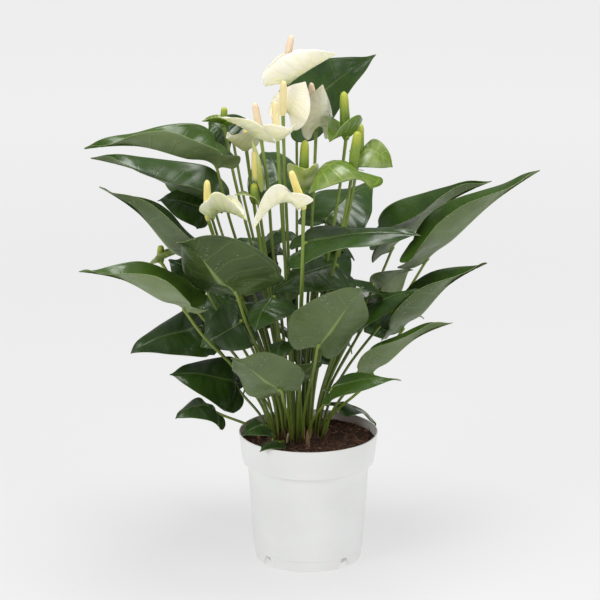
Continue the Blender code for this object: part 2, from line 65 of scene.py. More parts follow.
SOIL_DEPTH_BELOW_RIM = 0.010
CLEARANCE = 0.0004

CROWN = Vector((-0.014, 0.0))  # where the stems leave the mix
CROWN_RADIUS = Vector((0.046, 0.036))
BASE_LENGTH = 0.006  # a stem's first upright stretch
STEEPEST_LEAN = 1.6  # run over rise of the stems at the crown's edge

BLADE_THICKNESS = 0.0014
PETIOLE_RADIUS = 0.0021
PEDUNCLE_RADIUS = 0.0024
STEM_POINTS = 8
STEM_GAP = 0.0012  # least space between two stems, or a stem and another leaf's blade
SETTLE_ROUNDS = 60
SETTLE_SHARE = 0.6  # of the wanted move that a round makes
SETTLE_SPREAD = 0.1  # of a point's move that each neighbour takes on
SAMPLES = (0.0, 0.25, 0.5, 0.75)  # places along a stem's segment that are kept off blades
STEM_FIRST_RISE = 0.35  # shares of the rise that shape a stem's curve
STEM_FIRST_LEAN = 0.08
STEM_LAST_REACH = 0.30
STEM_LAST_RISE = 0.06

PLANT_SCALE = 1.0  # of everything above the mix
LEAF_CUP = 0.2  # how much of a half's fall comes by bending, not at the midrib
SPATHE_CUP = 0.65
MIDRIB_POWER = 1.5  # side veins leave the midrib closer together near the joint
VEIN_POWER = 1.4  # how a side vein curves forward
ARCH_POWER = 0.6  # the arch peaks nearer the joint
LOBE_SLOPE = 1.6  # of the arch, behind the joint
LEAF_GRID = (8, 4)  # rows and columns
SPATHE_GRID = (6, 4)
SPADIX = ((0.10, 1.6), (0.4, 1.9), (0.85, 1.6), (1.0, 0.7))  # place, and radius to the stalk's
OLD_SWELL = 1.3  # how much thicker an old flower's spadix is
SPATHE_GAP = 0.0024  # between the spadix and the foot of the spathe
SPATHE_OFFSET = PEDUNCLE_RADIUS * 1.9 + SPATHE_GAP

# Outlines: half width and distance along, as shares of the half width and the length
LEAF_OUTLINE = (
    (0.16, -0.05), (0.42, -0.14), (0.78, -0.11), (1.0, 0.06),
    (0.95, 0.26), (0.74, 0.50), (0.38, 0.74), (0.11, 0.91), (0.012, 1.0),
)
SPATHE_OUTLINE = (
    (0.32, -0.14), (0.54, -0.36), (0.86, -0.26), (1.0, 0.06),
    (0.86, 0.40), (0.50, 0.72), (0.16, 0.92), (0.02, 1.0),
)

# How fine the shapes are here
LEAF_FINE = (60, 44)  # rows and columns
SPATHE_FINE = (48, 40)
STEM_RINGS = 44
STEM_SIDES = 12
SPADIX_RINGS = 84
SPADIX_SIDES = 44
POT_SIDES = 144
SOIL_RINGS = 60
SOIL_SIDES = 180
SHEATH_FINE = (10, 12)
ROOT_RINGS = 10
ROOT_SIDES = 8

# Relief of the blades, as shares of their width where nothing else is said
LEAF_VEINS = 8.0  # side veins in each half
SPATHE_VEINS = 9.0
VEIN_SHIFT = 0.4  # how far the right half's veins are ahead of the left's, in veins
LEAF_QUILT = 0.007
SPATHE_QUILT = 0.006
SPATHE_WAVE = 0.03
EXTRA_LEAF_WAVE = 0.04
UNEVEN = 0.018
UNEVEN_SCALE = 28  # per metre
RIB_RISE = 0.0006  # metres
RIB_WIDTH = 0.03  # of a half
PETIOLE_TAPER = (0.85, 0.6, 0.3)  # of the last rings, inside the blade

# The spadix
FLORET_TURNS = 9
FLORET_PITCH = 0.0021
FLORET_RISE = 0.20  # of the spadix's swell
SPADIX_SINK = 0.002  # how far it starts inside the stalk
SPADIX_BEND = 0.03  # of its length

# The pot, the mix and what lies loose on it
POT_ROUNDING = 0.0012
LUMP = 0.0024
HEAP = 0.004  # how much higher the mix is at the crown
FIBRES = 900  # how many
CHIPS = 260
ROOTS = 16
SHEATH_THICKNESS = 0.0003

FLOOR_RADIUS = 30.0
MIX_SOCKETS = (0, 6, 7)  # the factor and both colours of a colour mix

# Leaves: where the petiole joins, the tip, width, roll, arch of the midrib, and the droop of the left
# and right halves in degrees, seen from above with the tip ahead. Then how pale it is, and the share
# of the width that the margin waves. Every place is measured from the pot's axis and up from the mix.
LEAVES = {
    "leaf_left_1": ((-0.108, -0.01, 0.337), (-0.262, -0.03, 0.365), 0.106, 0, 0.012,
        (-36, -36), 0.62, 0.055),
    "leaf_left_2": ((-0.122, 0.03, 0.287), (-0.262, 0.038, 0.341), 0.1, 0, 0.006, (-20, -34), 0.3, 0.055),
    "leaf_left_3": ((-0.134, -0.03, 0.222), (-0.243, -0.055, 0.325), 0.108, 0, 0.002,
        (-34, -34), 0.34, 0.05),
    "leaf_left_4": ((-0.083, -0.1, 0.206), (-0.146, -0.19, 0.29), 0.13, -46, 0.008, (5, -58), 0.02, 0.05),
    "leaf_left_5": ((-0.142, -0.095, 0.184), (-0.264, -0.105, 0.236), 0.1, 0, 0.008,
        (-34, -34), 0.62, 0.05),
    "leaf_left_6": ((-0.124, 0.05, 0.182), (-0.172, 0.06, 0.21), 0.09, 35, 0.006, (5, 5), 0.05, 0.05),
    "leaf_left_7": ((-0.128, 0.04, 0.128), (-0.218, 0.03, 0.099), 0.078, 30, 0.01, (15, 5), 0.05, 0.06),
    "leaf_left_8": ((-0.078, -0.056, 0.163), (-0.128, -0.058, 0.133), 0.062, 75, 0.006, (5, 5), 0.1, 0.035),
    "leaf_left_9": ((-0.09, 0.05, 0.052), (-0.172, 0.05, 0.066), 0.085, 30, 0.01, (10, 5), 0.1, 0.035),
    "leaf_left_10": ((-0.114, -0.02, 0.041), (-0.16, -0.04, 0.038), 0.062, 10, 0.012, (20, 10), 0.1, 0.035),
    "leaf_front_1": ((-0.032, -0.1, 0.09), (-0.088, -0.165, 0.15), 0.076, -65, 0.008, (5, -50), 0.4, 0.06),
    "leaf_front_2": ((0.01, -0.11, 0.146), (0.06, -0.185, 0.238), 0.094, 55, 0.006, (-55, 0), 0.36, 0.06),
    "leaf_front_3": ((0.026, -0.118, 0.096), (0.106, -0.133, 0.114), 0.042, -20, 0.01, (10, 10), 0.5, 0.05),
    "leaf_centre_1": ((-0.006, -0.082, 0.259), (0.128, -0.099, 0.277), 0.08, 0, 0.01, (-8, 20), 0.1, 0.06),
    "leaf_centre_2": ((-0.04, -0.06, 0.191), (-0.062, -0.105, 0.164), 0.07, 0, 0.01, (25, 25), 0.1, 0.035),
    "leaf_centre_3": ((-0.03, -0.075, 0.144), (-0.038, -0.1, 0.129), 0.034, 0, 0.004, (20, 20), 0.1, 0.035),
    "leaf_right_1": ((0.104, 0.118, 0.206), (0.228, 0.112, 0.298), 0.11, 0, 0.008, (-40, -30), 0.28, 0.055),
    "leaf_right_2": ((0.142, 0.04, 0.211), (0.278, 0.03, 0.328), 0.108, 0, 0.004, (-36, -34), 0.46, 0.05),
    "leaf_right_3": ((0.112, -0.008, 0.137), (0.212, -0.023, 0.226), 0.098, 0, 0.006,
        (-38, -32), 0.26, 0.055),
    "leaf_right_4": ((0.074, -0.07, 0.098), (0.167, -0.09, 0.171), 0.074, 0, 0.008, (-30, -40), 0.46, 0.06),
    "leaf_right_5": ((0.088, 0.048, 0.172), (0.128, 0.05, 0.2), 0.072, 50, 0.006, (0, 5), 0.5, 0.04),
    "leaf_right_6": ((0.04, 0.01, 0.142), (0.136, -0.01, 0.19), 0.06, -25, 0.008, (10, 15), 0.1, 0.035),
    "leaf_right_7": ((0.036, 0.06, 0.022), (0.086, 0.09, -0.014), 0.06, 0, 0.01, (10, 10), 0.1, 0.035),
    "leaf_top_1": ((-0.014, 0.066, 0.392), (0.08, 0.036, 0.466), 0.095, -65, 0.004, (5, -10), 0.04, 0.03),
    "leaf_top_2": ((-0.092, 0.075, 0.358), (-0.122, 0.085, 0.376), 0.075, 40, 0.004, (5, 5), 0.1, 0.035),
    "leaf_top_3": ((-0.032, 0.075, 0.29), (-0.055, 0.135, 0.33), 0.085, 0, 0.01, (5, 5), 0.1, 0.035),
    "leaf_top_4": ((0.022, 0.085, 0.25), (0.082, 0.155, 0.286), 0.095, -15, 0.012, (10, 10), 0.1, 0.035),
    "leaf_back_1": ((0.005, 0.095, 0.165), (0.025, 0.205, 0.15), 0.11, 0, 0.02, (15, 15), 0.1, 0.035),
    "leaf_back_2": ((-0.06, 0.09, 0.15), (-0.11, 0.2, 0.13), 0.11, 0, 0.02, (15, 15), 0.1, 0.035),
    "leaf_back_3": ((-0.12, 0.08, 0.286), (-0.186, 0.13, 0.296), 0.09, 0, 0.015, (15, 15), 0.1, 0.035),
    "leaf_back_4": ((0.07, 0.1, 0.12), (0.15, 0.17, 0.105), 0.095, 0, 0.02, (15, 15), 0.1, 0.035),
    "leaf_back_5": ((-0.075, 0.09, 0.055), (-0.14, 0.16, 0.035), 0.09, 0, 0.015, (15, 15), 0.1, 0.035),
    "leaf_back_6": ((-0.01, 0.1, 0.08), (-0.01, 0.205, 0.035), 0.1, 0, 0.02, (15, 15), 0.1, 0.035),
}
# Small leaves among the stems, which the part leaves out, in the same terms up to how pale they are.
EXTRA_LEAVES = (
    ((0.035, -0.012, 0.217), (-0.043, -0.04, 0.193), 0.08, 20, 0.012, (15, 10), 0.0),
    ((0.011, 0.012, 0.229), (0.048, -0.022, 0.18), 0.072, -15, 0.01, (10, 10), 0.0),
    ((0.077, 0.01, 0.187), (0.04, -0.022, 0.198), 0.046, 10, 0.008, (15, 10), 0.0),
    ((-0.01, -0.06, 0.095), (0.018, -0.084, 0.122), 0.042, 30, 0.006, (-20, 10), 0.15),
    ((-0.125, 0.045, 0.272), (-0.184, 0.06, 0.284), 0.07, 20, 0.008, (5, -20), 0.1),
    ((-0.084, 0.012, 0.17), (-0.122, -0.014, 0.118), 0.078, 40, 0.01, (10, 10), 0.0),
    ((-0.062, 0.034, 0.155), (-0.13, 0.062, 0.162), 0.066, 30, 0.008, (10, 10), 0.05),
    ((0.05, 0.024, 0.15), (0.114, 0.046, 0.166), 0.06, -20, 0.008, (-15, 15), 0.05),
    ((-0.052, -0.052, 0.032), (-0.078, -0.07, 0.026), 0.034, 20, 0.006, (20, 10), 0.0),
    ((-0.036, -0.06, 0.014), (-0.058, -0.076, 0.008), 0.026, 0, 0.004, (20, 10), 0.1),
    ((-0.02, 0.04, 0.1), (0.03, 0.062, 0.086), 0.07, 0, 0.01, (15, 15), 0.0),
    ((-0.04, 0.04, 0.22), (-0.09, 0.05, 0.236), 0.062, 20, 0.008, (10, 10), 0.0),
    ((-0.058, 0.045, 0.14), (-0.012, 0.062, 0.094), 0.064, 0, 0.01, (15, 10), 0.0),
    ((0.014, 0.05, 0.134), (0.054, 0.052, 0.092), 0.06, 0, 0.01, (10, 15), 0.0),
    ((-0.048, 0.03, 0.086), (-0.08, 0.018, 0.05), 0.05, 0, 0.008, (15, 15), 0.0),
    ((0.05, 0.04, 0.128), (0.026, 0.044, 0.168), 0.056, 20, 0.008, (10, 10), 0.05),
    ((-0.03, 0.03, 0.252), (-0.058, 0.02, 0.216), 0.052, 0, 0.01, (15, 15), 0.0),
    ((0.01, 0.035, 0.244), (0.056, 0.04, 0.214), 0.056, 0, 0.01, (15, 15), 0.0),
)
# Open flowers: the top of the stalk, the spathe's tip, its width, roll, arch and the droop of its
# halves, the spadix's length and its lean as a direction, how green the spathe is, the spadix's look.
FLOWERS = {
    "flower_1": ((-0.03, -0.02, 0.44), (0.032, -0.012, 0.474), 0.08, 0, 0.002, (-50, -68),
        0.058, (0.15, 0, 1), 0.05, "spadix_pink"),
    "flower_2": ((0.009, 0.002, 0.386), (0.016, -0.014, 0.438), 0.048, 0, 0.002, (-35, -35),
        0.052, (-0.15, 0.1, 1), 0.04, "spadix_pink"),
    "flower_3": ((-0.03, -0.04, 0.408), (-0.004, -0.03, 0.444), 0.048, -60, 0.002, (0, 0),
        0.04, (0, -0.2, 1), 0.0, "spadix"),
    "flower_4": ((-0.036, -0.06, 0.382), (-0.02, -0.09, 0.398), 0.052, 0, 0.0, (-38, -48),
        0.044, (-0.1, 0, 1), 0.08, "spadix"),
    "flower_5": ((-0.056, -0.03, 0.38), (-0.104, -0.045, 0.406), 0.062, 0, 0.003, (-25, -5),
        0.04, (-0.2, 0, 1), 0.12, "spadix_pink"),
    "flower_6": ((-0.074, 0.015, 0.356), (-0.096, -0.02, 0.376), 0.058, 0, 0.0, (-55, -40),
        0.03, (0, 0, 1), 0.14, "spadix_yellow"),
    "flower_7": ((-0.116, -0.08, 0.292), (-0.07, -0.092, 0.292), 0.07, 0, 0.01, (-25, -58),
        0.046, (-0.05, 0, 1), 0.26, "spadix_yellow"),
    "flower_8": ((-0.006, -0.165, 0.324), (-0.062, -0.17, 0.3), 0.068, 0, 0.016, (-55, -22),
        0.044, (-0.38, 0, 1), 0.1, "spadix_yellow"),
}
# Old green flowers, young ones and a bud, in the same terms.
SEED_FLOWERS = {
    "old_flower_1": ((-0.006, -0.04, 0.319), (-0.004, -0.077, 0.35), 0.074, 0, 0.0, (-54, -54),
        0.058, (0, 0, 1), 0.34, "spadix_green"),
    "old_flower_2": ((0.051, -0.052, 0.345), (0.0, -0.082, 0.323), 0.07, 0, 0.018, (32, 15),
        0.045, (0.1, 0, 1), 0.8, "spadix_green"),
    "old_flower_3": ((0.06, 0.02, 0.346), (0.1, 0.01, 0.336), 0.06, -20, 0.014, (0, 20),
        0.04, (0, 0, 1), 0.7, "spadix_green"),
    "old_flower_4": ((0.044, -0.01, 0.374), (0.024, -0.054, 0.378), 0.066, 0, 0.004, (-58, -52),
        0.055, (-0.08, 0.04, 1), 0.85, "spadix_green"),
    "young_flower_1": ((-0.064, -0.05, 0.306), (-0.086, -0.058, 0.316), 0.038, 0, 0.006, (0, 0),
        0.022, (0, 0, 1), 0.45, "spadix_green"),
    "young_flower_2": ((-0.102, 0.056, 0.378), (-0.128, 0.051, 0.384), 0.034, 0, 0.002, (-30, -30),
        0.022, (0, 0, 1), 0.6, "spadix_green"),
    "young_flower_3": ((-0.178, 0.01, 0.22), (-0.15, 0.005, 0.234), 0.03, 0, 0.002, (-35, -35),
        0.02, (0, 0, 1), 0.6, "spadix_green"),
    "flower_bud": ((-0.062, -0.03, 0.33), (-0.066, -0.03, 0.376), 0.022, 0, 0.0, (-65, -65),
        0.034, (-0.06, 0, 1), 0.05, "spadix_yellow"),
}


def blade_axes(joint, tip, roll):
    """Along, to the right, and up, for a blade from its joint to its tip."""
    along = (tip - joint).normalized()
    level = along.cross(Vector((0, 0, 1))).normalized()
    upward = level.cross(along)
    turn = math.radians(roll)
    side = level * math.cos(turn) + upward * math.sin(turn)
    return along, side, side.cross(along)


def soil_top():
    return POT_HEIGHT - SOIL_DEPTH_BELOW_RIM


def stem_root(top):
    """Where a stem leaves the mix: the further it leans out, the further from the middle."""
    outward = Vector((top.x, top.y)) - CROWN
    lean = math.sqrt(min(outward.length / (top.z - soil_top()) / STEEPEST_LEAN, 1.0))
    direction = outward.normalized()
    return Vector(
        (
            CROWN.x + direction.x * CROWN_RADIUS.x * lean,
            CROWN.y + direction.y * CROWN_RADIUS.y * lean,
            soil_top() + CLEARANCE,
        )
    )


def stem_path(top):
    """Points of a stem from the mix to its top: upright at first, then leaning out."""
    foot = stem_root(top)
    start = foot + Vector((0, 0, BASE_LENGTH))
    rise = top - start
    first = start + Vector((0, 0, rise.z * STEM_FIRST_RISE)) + rise * STEM_FIRST_LEAN
    second = top - rise * STEM_LAST_REACH - Vector((0, 0, rise.z * STEM_LAST_RISE))
    path = [foot]
    for step in range(STEM_POINTS - 1):
        share = step / (STEM_POINTS - 2)
        back = 1 - share
        path.append(
            start * back**3
            + first * 3 * back**2 * share
            + second * 3 * back * share**2
            + top * share**3
        )
    return path


def nearest_places(starts, runs, other_starts, other_runs):
    """Where along each segment of one set it comes nearest to its partner in the other, 0..1."""
    between = starts - other_starts
    own, other = (runs * runs).sum(1), (other_runs * other_runs).sum(1)
    cross = (runs * other_runs).sum(1)
    ahead, behind = (runs * between).sum(1), (other_runs * between).sum(1)
    spread = np.maximum(own * other - cross * cross, 1e-12)
    place = np.clip((cross * behind - ahead * other) / spread, 0, 1)
    partner = np.clip((cross * place + behind) / other, 0, 1)
    place = np.clip((cross * partner - ahead) / own, 0, 1)
    return place, partner


def push_stems_apart(points, radii, moves):
    """Adds to moves what takes each pair of stems that come too near to half its missing gap."""
    count, last = points.shape[0], points.shape[1] - 1
    one, two = np.triu_indices(count, 1)
    for step in range(last * last):
        a, b = divmod(step, last)
        starts, other_starts = points[one, a], points[two, b]
        runs, other_runs = points[one, a + 1] - starts, points[two, b + 1] - other_starts
        place, partner = nearest_places(starts, runs, other_starts, other_runs)
        apart = starts + runs * place[:, None] - other_starts - other_runs * partner[:, None]
        distance = np.maximum(np.linalg.norm(apart, axis=1), 1e-6)
        missing = radii[one] + radii[two] + STEM_GAP - distance
        near = missing > 0
        push = (apart[near].T * missing[near] / distance[near] * 0.5).T
        place, partner = place[near, None], partner[near, None]
        np.add.at(moves, (one[near], a), push * (1 - place))
        np.add.at(moves, (one[near], a + 1), push * place)
        np.add.at(moves, (two[near], b), -push * (1 - partner))
        np.add.at(moves, (two[near], b + 1), -push * partner)


def push_off_blades(points, radii, names, blades, moves):
    """Adds to moves what takes stems clear of the blades that are not their own."""
    for index, name in enumerate(names):
        need = radii[index] + BLADE_THICKNESS / 2 + STEM_GAP
        for step in range(points.shape[1] - 1):
            for share in SAMPLES:
                place = Vector(points[index, step] * (1 - share) + points[index, step + 1] * share)
                for owner, tree in blades.items():
                    found = tree.find_nearest(place, need) if owner != name else (None,)
                    if found[0] is None or found[3] < 1e-6:
                        continue
                    push = np.array((place - found[0]) * ((need - found[3]) / found[3]))
                    moves[index, step] += push * (1 - share)
                    moves[index, step + 1] += push * share


def settled_stems(tops, radii, blades):
    """Every stem's points, bent a little so that none touches another or a strange blade."""
    names = list(tops)
    points = np.array([[tuple(point) for point in stem_path(tops[name])] for name in names])
    thick = np.array([radii[name] for name in names])
    for _ in range(SETTLE_ROUNDS):
        moves = np.zeros_like(points)
        push_stems_apart(points, thick, moves)
        push_off_blades(points, thick, names, blades, moves)
        moves[:, 0] = moves[:, 0] + moves[:, 1]
        moves[:, :2, 2] = 0
        moves[:, 1] = moves[:, 0]
        beside = moves[:, 1:-2] + moves[:, 3:]
        moves[:, 2:-1] = moves[:, 2:-1] * (1 - 2 * SETTLE_SPREAD) + beside * SETTLE_SPREAD
        moves[:, -1] = 0
        points += moves * SETTLE_SHARE
    return {name: [Vector(point) for point in path] for name, path in zip(names, points)}


def scaled(point):
    """A place on the plant, grown or shrunk about the crown and standing on the mix."""
    middle = Vector((CROWN.x, CROWN.y, 0))
    grown = middle + (Vector(point) - middle) * PLANT_SCALE
    return grown + Vector((0, 0, soil_top()))


def leaf_shape(row):
    joint, tip, width, roll, arch, droop = row[:6]
    size = PLANT_SCALE
    return scaled(joint), scaled(tip), width * size, roll, arch * size, droop, LEAF_CUP


def spathe_shape(row, offset):
    """The spathe's shape; its joint stands off the stalk by the offset."""
    joint, tip, *rest = leaf_shape(row)
    spadix = Vector(row[7]).normalized()
    away = tip - joint
    away -= spadix * away.dot(spadix)
    return joint + away.normalized() * offset, tip, *rest[:4], SPATHE_CUP


def blade_tree(outline, shape, fine):
    """The blade's faces, for finding what is nearest to a stem."""
    points = blade_grid(outline, shape, fine)[0].reshape(-1, 3)
    return BVHTree.FromPolygons(points.tolist(), grid_faces(*fine))


def body_radius(height):
    """Outer radius of the pot's body, between the foot and the collar."""
    top_radius = RIM_RADIUS - COLLAR_TAPER - COLLAR_STEP
    share = (height - FOOT_HEIGHT) / (POT_HEIGHT - COLLAR_HEIGHT - FOOT_HEIGHT)
    return top_radius - BODY_TAPER * (1 - share)


def collar_radius(height):
    share = (POT_HEIGHT - height) / COLLAR_HEIGHT
    return RIM_RADIUS - COLLAR_TAPER * share


def plant_blades():
    """Every blade and spathe as a tree, named for the stem that carries it."""
    trees = {name: blade_tree(LEAF_OUTLINE, leaf_shape(row), LEAF_GRID) for name, row in LEAVES.items()}
    for rows, offset in ((FLOWERS, SPATHE_OFFSET), (SEED_FLOWERS, 0)):
        for name, row in rows.items():
            trees[name] = blade_tree(SPATHE_OUTLINE, spathe_shape(row, offset), SPATHE_GRID)
    return trees


def plant_stems():
    rows = {**LEAVES, **FLOWERS, **SEED_FLOWERS}
    tops = {name: scaled(row[0]) for name, row in rows.items()}
    radii = {name: PETIOLE_RADIUS if name in LEAVES else PEDUNCLE_RADIUS for name in rows}
    return settled_stems(tops, radii, plant_blades())


def outline_at(outline, places):
    """The outline's half width and distance along at many places."""
    points = np.array(outline)
    along = places * (len(points) - 1)
    index = np.minimum(along.astype(int), len(points) - 2)
    share = (along - index)[:, None]
    a, b = points[np.maximum(index - 1, 0)], points[index]
    c, d = points[index + 1], points[np.minimum(index + 2, len(points) - 1)]
    cubic = (2 * a - 5 * b + 4 * c - d) * share**2 + (3 * b - a - 3 * c + d) * share**3
    return 0.5 * (2 * b + (c - a) * share + cubic)


def smooth(value, low, high):
    share = np.clip((value - low) / (high - low), 0, 1)
    return share * share * (3 - 2 * share)


def blade_grid(outline, shape, fine):
    """Points, normals, and the place and across values of a blade, each on a grid."""
    joint, tip, width, roll, arch, droop, cup = shape
    rows, columns = fine
    length = (tip - joint).length
    places = np.linspace(0, 1, rows + 1)
    across = np.linspace(-1, 1, columns + 1)
    spread = outline_at(outline, places)
    place, across = np.meshgrid(places, across, indexing="ij")
    out, forward = spread[:, :1], spread[:, 1:]
    root = length * place**MIDRIB_POWER
    share = np.abs(across)
    reach = out * width / 2
    ahead = root + (forward * length - root) * share**VEIN_POWER
    fall = np.radians(np.where(across < 0, droop[0], droop[1]))
    start, gain = fall * (1 - cup), 2 * fall * cup
    bent = np.abs(gain) >= 1e-4
    safe = np.where(bent, gain, 1)
    end = start + safe * share
    outward = np.where(bent, (np.sin(end) - np.sin(start)) / safe, share * np.cos(start))
    down = np.where(bent, (np.cos(start) - np.cos(end)) / safe, share * np.sin(start))
    peak = np.maximum(ahead / length, 0) ** ARCH_POWER
    midrib = np.where(ahead < 0, arch * LOBE_SLOPE * ahead / length, 4 * arch * peak * (1 - peak))
    axes = np.array(blade_axes(joint, tip, roll))
    places_of = [ahead, np.sign(across) * outward * reach, midrib - down * reach]
    points = np.array(joint) + sum(value[..., None] * axis for value, axis in zip(places_of, axes))
    return points, grid_normals(points, axes[2]), place, across


def grid_normals(points, upward):
    rows, columns = np.gradient(points, axis=0), np.gradient(points, axis=1)
    normals = np.cross(columns, rows)
    size = np.linalg.norm(normals, axis=2, keepdims=True)
    normals = np.where(size > 1e-12, normals / np.maximum(size, 1e-12), upward)
    return np.where((normals * upward).sum(2, keepdims=True) < -0.9, -normals, normals)


def mesh_object(name, points, faces, uvs=None, materials=(), indices=None, tone=None):
    """A smooth-shaded mesh; uvs and tone are per point, indices give each face's material."""
    mesh = bpy.data.meshes.new(name)
    mesh.from_pydata([tuple(point) for point in points], [], [tuple(face) for face in faces])
    mesh.shade_smooth()
    if uvs is not None:
        layer = mesh.uv_layers.new(name="UVMap")
        corners = np.empty(len(mesh.loops), np.int32)
        mesh.loops.foreach_get("vertex_index", corners)
        layer.data.foreach_set("uv", np.asarray(uvs, np.float32)[corners].ravel())
    if tone is not None:
        values = np.full(len(mesh.vertices), tone, np.float32)
        mesh.attributes.new("tone", "FLOAT", "POINT").data.foreach_set("value", values)
    for look in materials:
        mesh.materials.append(look)
    if indices is not None:
        mesh.polygons.foreach_set("material_index", np.asarray(indices, np.int32))
    mesh.update()
    made = bpy.data.objects.new(name, mesh)
    bpy.context.scene.collection.objects.link(made)
    return made


class Shell:
    """Gathers points, faces, uvs, tones and material numbers of one piece."""

    def __init__(self):
        self.points, self.faces, self.uvs, self.tones, self.kinds = [], [], [], [], []
        self.count = 0

    def add(self, points, faces, uvs, tone, kinds):
        points = np.asarray(points, float).reshape(-1, 3)
        self.points.append(points)
        self.faces.extend(tuple(int(corner) + self.count for corner in face) for face in faces)
        self.uvs.append(np.asarray(uvs, float).reshape(-1, 2))
        self.tones.append(np.broadcast_to(np.asarray(tone, float), (len(points),)))
        self.kinds.extend([kinds] * len(faces) if isinstance(kinds, int) else kinds)
        self.count += len(points)

    def build(self, name, materials, nodes=()):
        made = mesh_object(
            name,
            np.concatenate(self.points),
            self.faces,
            np.concatenate(self.uvs),
            materials,
            self.kinds,
            np.concatenate(self.tones),
        )
        return placed(made, nodes)


def placed(piece, nodes=()):
    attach(piece, "root")
    if nodes:
        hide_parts(*nodes)
    return piece


def grid_faces(rows, columns, offset=0, closed=False):
    """Quads of a grid with this many cells; closed joins the last column to the first."""
    across = columns if closed else columns + 1
    faces = []
    for row in range(rows):
        for column in range(columns):
            beside = (column + 1) % across
            low, high = row * across + offset, (row + 1) * across + offset
            faces.append((low + column, low + beside, high + beside, high + column))
    return faces


def add_blade(shell, grid, thickness, tone, kinds):
    """A closed thin blade: upper face, lower face and the edge between, thinning to the margin."""
    points, normals, place, across = grid
    rows, columns = place.shape[0] - 1, place.shape[1] - 1
    half = (thickness / 2)[..., None] * normals
    upper, lower = (points + half).reshape(-1, 3), (points - half).reshape(-1, 3)
    uv = np.stack([(across + 1) / 2, place], -1).reshape(-1, 2)
    count = len(upper)
    faces = grid_faces(rows, columns)
    under = [tuple(corner + count for corner in face[::-1]) for face in faces]
    ring = [row * (columns + 1) for row in range(rows + 1)]
    ring += [rows * (columns + 1) + column for column in range(1, columns + 1)]
    ring += [row * (columns + 1) + columns for row in range(rows - 1, -1, -1)]
    ring += [column for column in range(columns - 1, 0, -1)]
    edge = [(a, b, b + count, a + count) for a, b in zip(ring, ring[1:] + ring[:1])]
    shell.add(
        np.concatenate([upper, lower]),
        faces + under + edge,
        np.concatenate([uv, uv]),
        tone,
        [kinds[0]] * len(faces) + [kinds[1]] * len(under) + [kinds[2]] * len(edge),
    )


def smooth_path(points, count):
    """The path resampled by a smooth curve, with the share along each sample."""
    shares = np.linspace(0, 1, count)
    return outline_at([tuple(point) for point in points], shares), shares


def ring_frames(path):
    """Two directions across the path at each point, carried along without twist."""
    ahead = np.gradient(path, axis=0)
    ahead /= np.linalg.norm(ahead, axis=1, keepdims=True)
    side = np.cross(ahead[0], (0.31, 0.95, 0.0))
    sides = []
    for direction in ahead:
        side = side - direction * side.dot(direction)
        side = side / np.linalg.norm(side)
        sides.append(side)
    sides = np.array(sides)
    return sides, np.cross(ahead, sides)


def add_tube(shell, path, radii, sides, tone, kind, relief=0.0):
    """A tube with closed ends; relief is added to the radius, for each ring and side."""
    path = np.asarray(path, float)
    first, second = ring_frames(path)
    angle = np.arange(sides) / sides * math.tau
    radius = np.asarray(radii, float)[:, None] * np.ones(sides) + relief
    points = (
        path[:, None]
        + first[:, None] * (np.cos(angle) * radius)[..., None]
        + second[:, None] * (np.sin(angle) * radius)[..., None]
    )
    rows = len(path) - 1
    shares = np.linspace(0, 1, rows + 1)[:, None] * np.ones(sides)
    uv = np.stack([np.ones((rows + 1, 1)) * angle / math.tau, shares], -1)
    faces = grid_faces(rows, sides, closed=True)
    faces += [tuple(range(sides))[::-1], tuple(rows * sides + side for side in range(sides))]
    if np.ndim(tone) == 1:
        tone = np.repeat(tone, sides)
    shell.add(points, faces, uv, tone, kind)


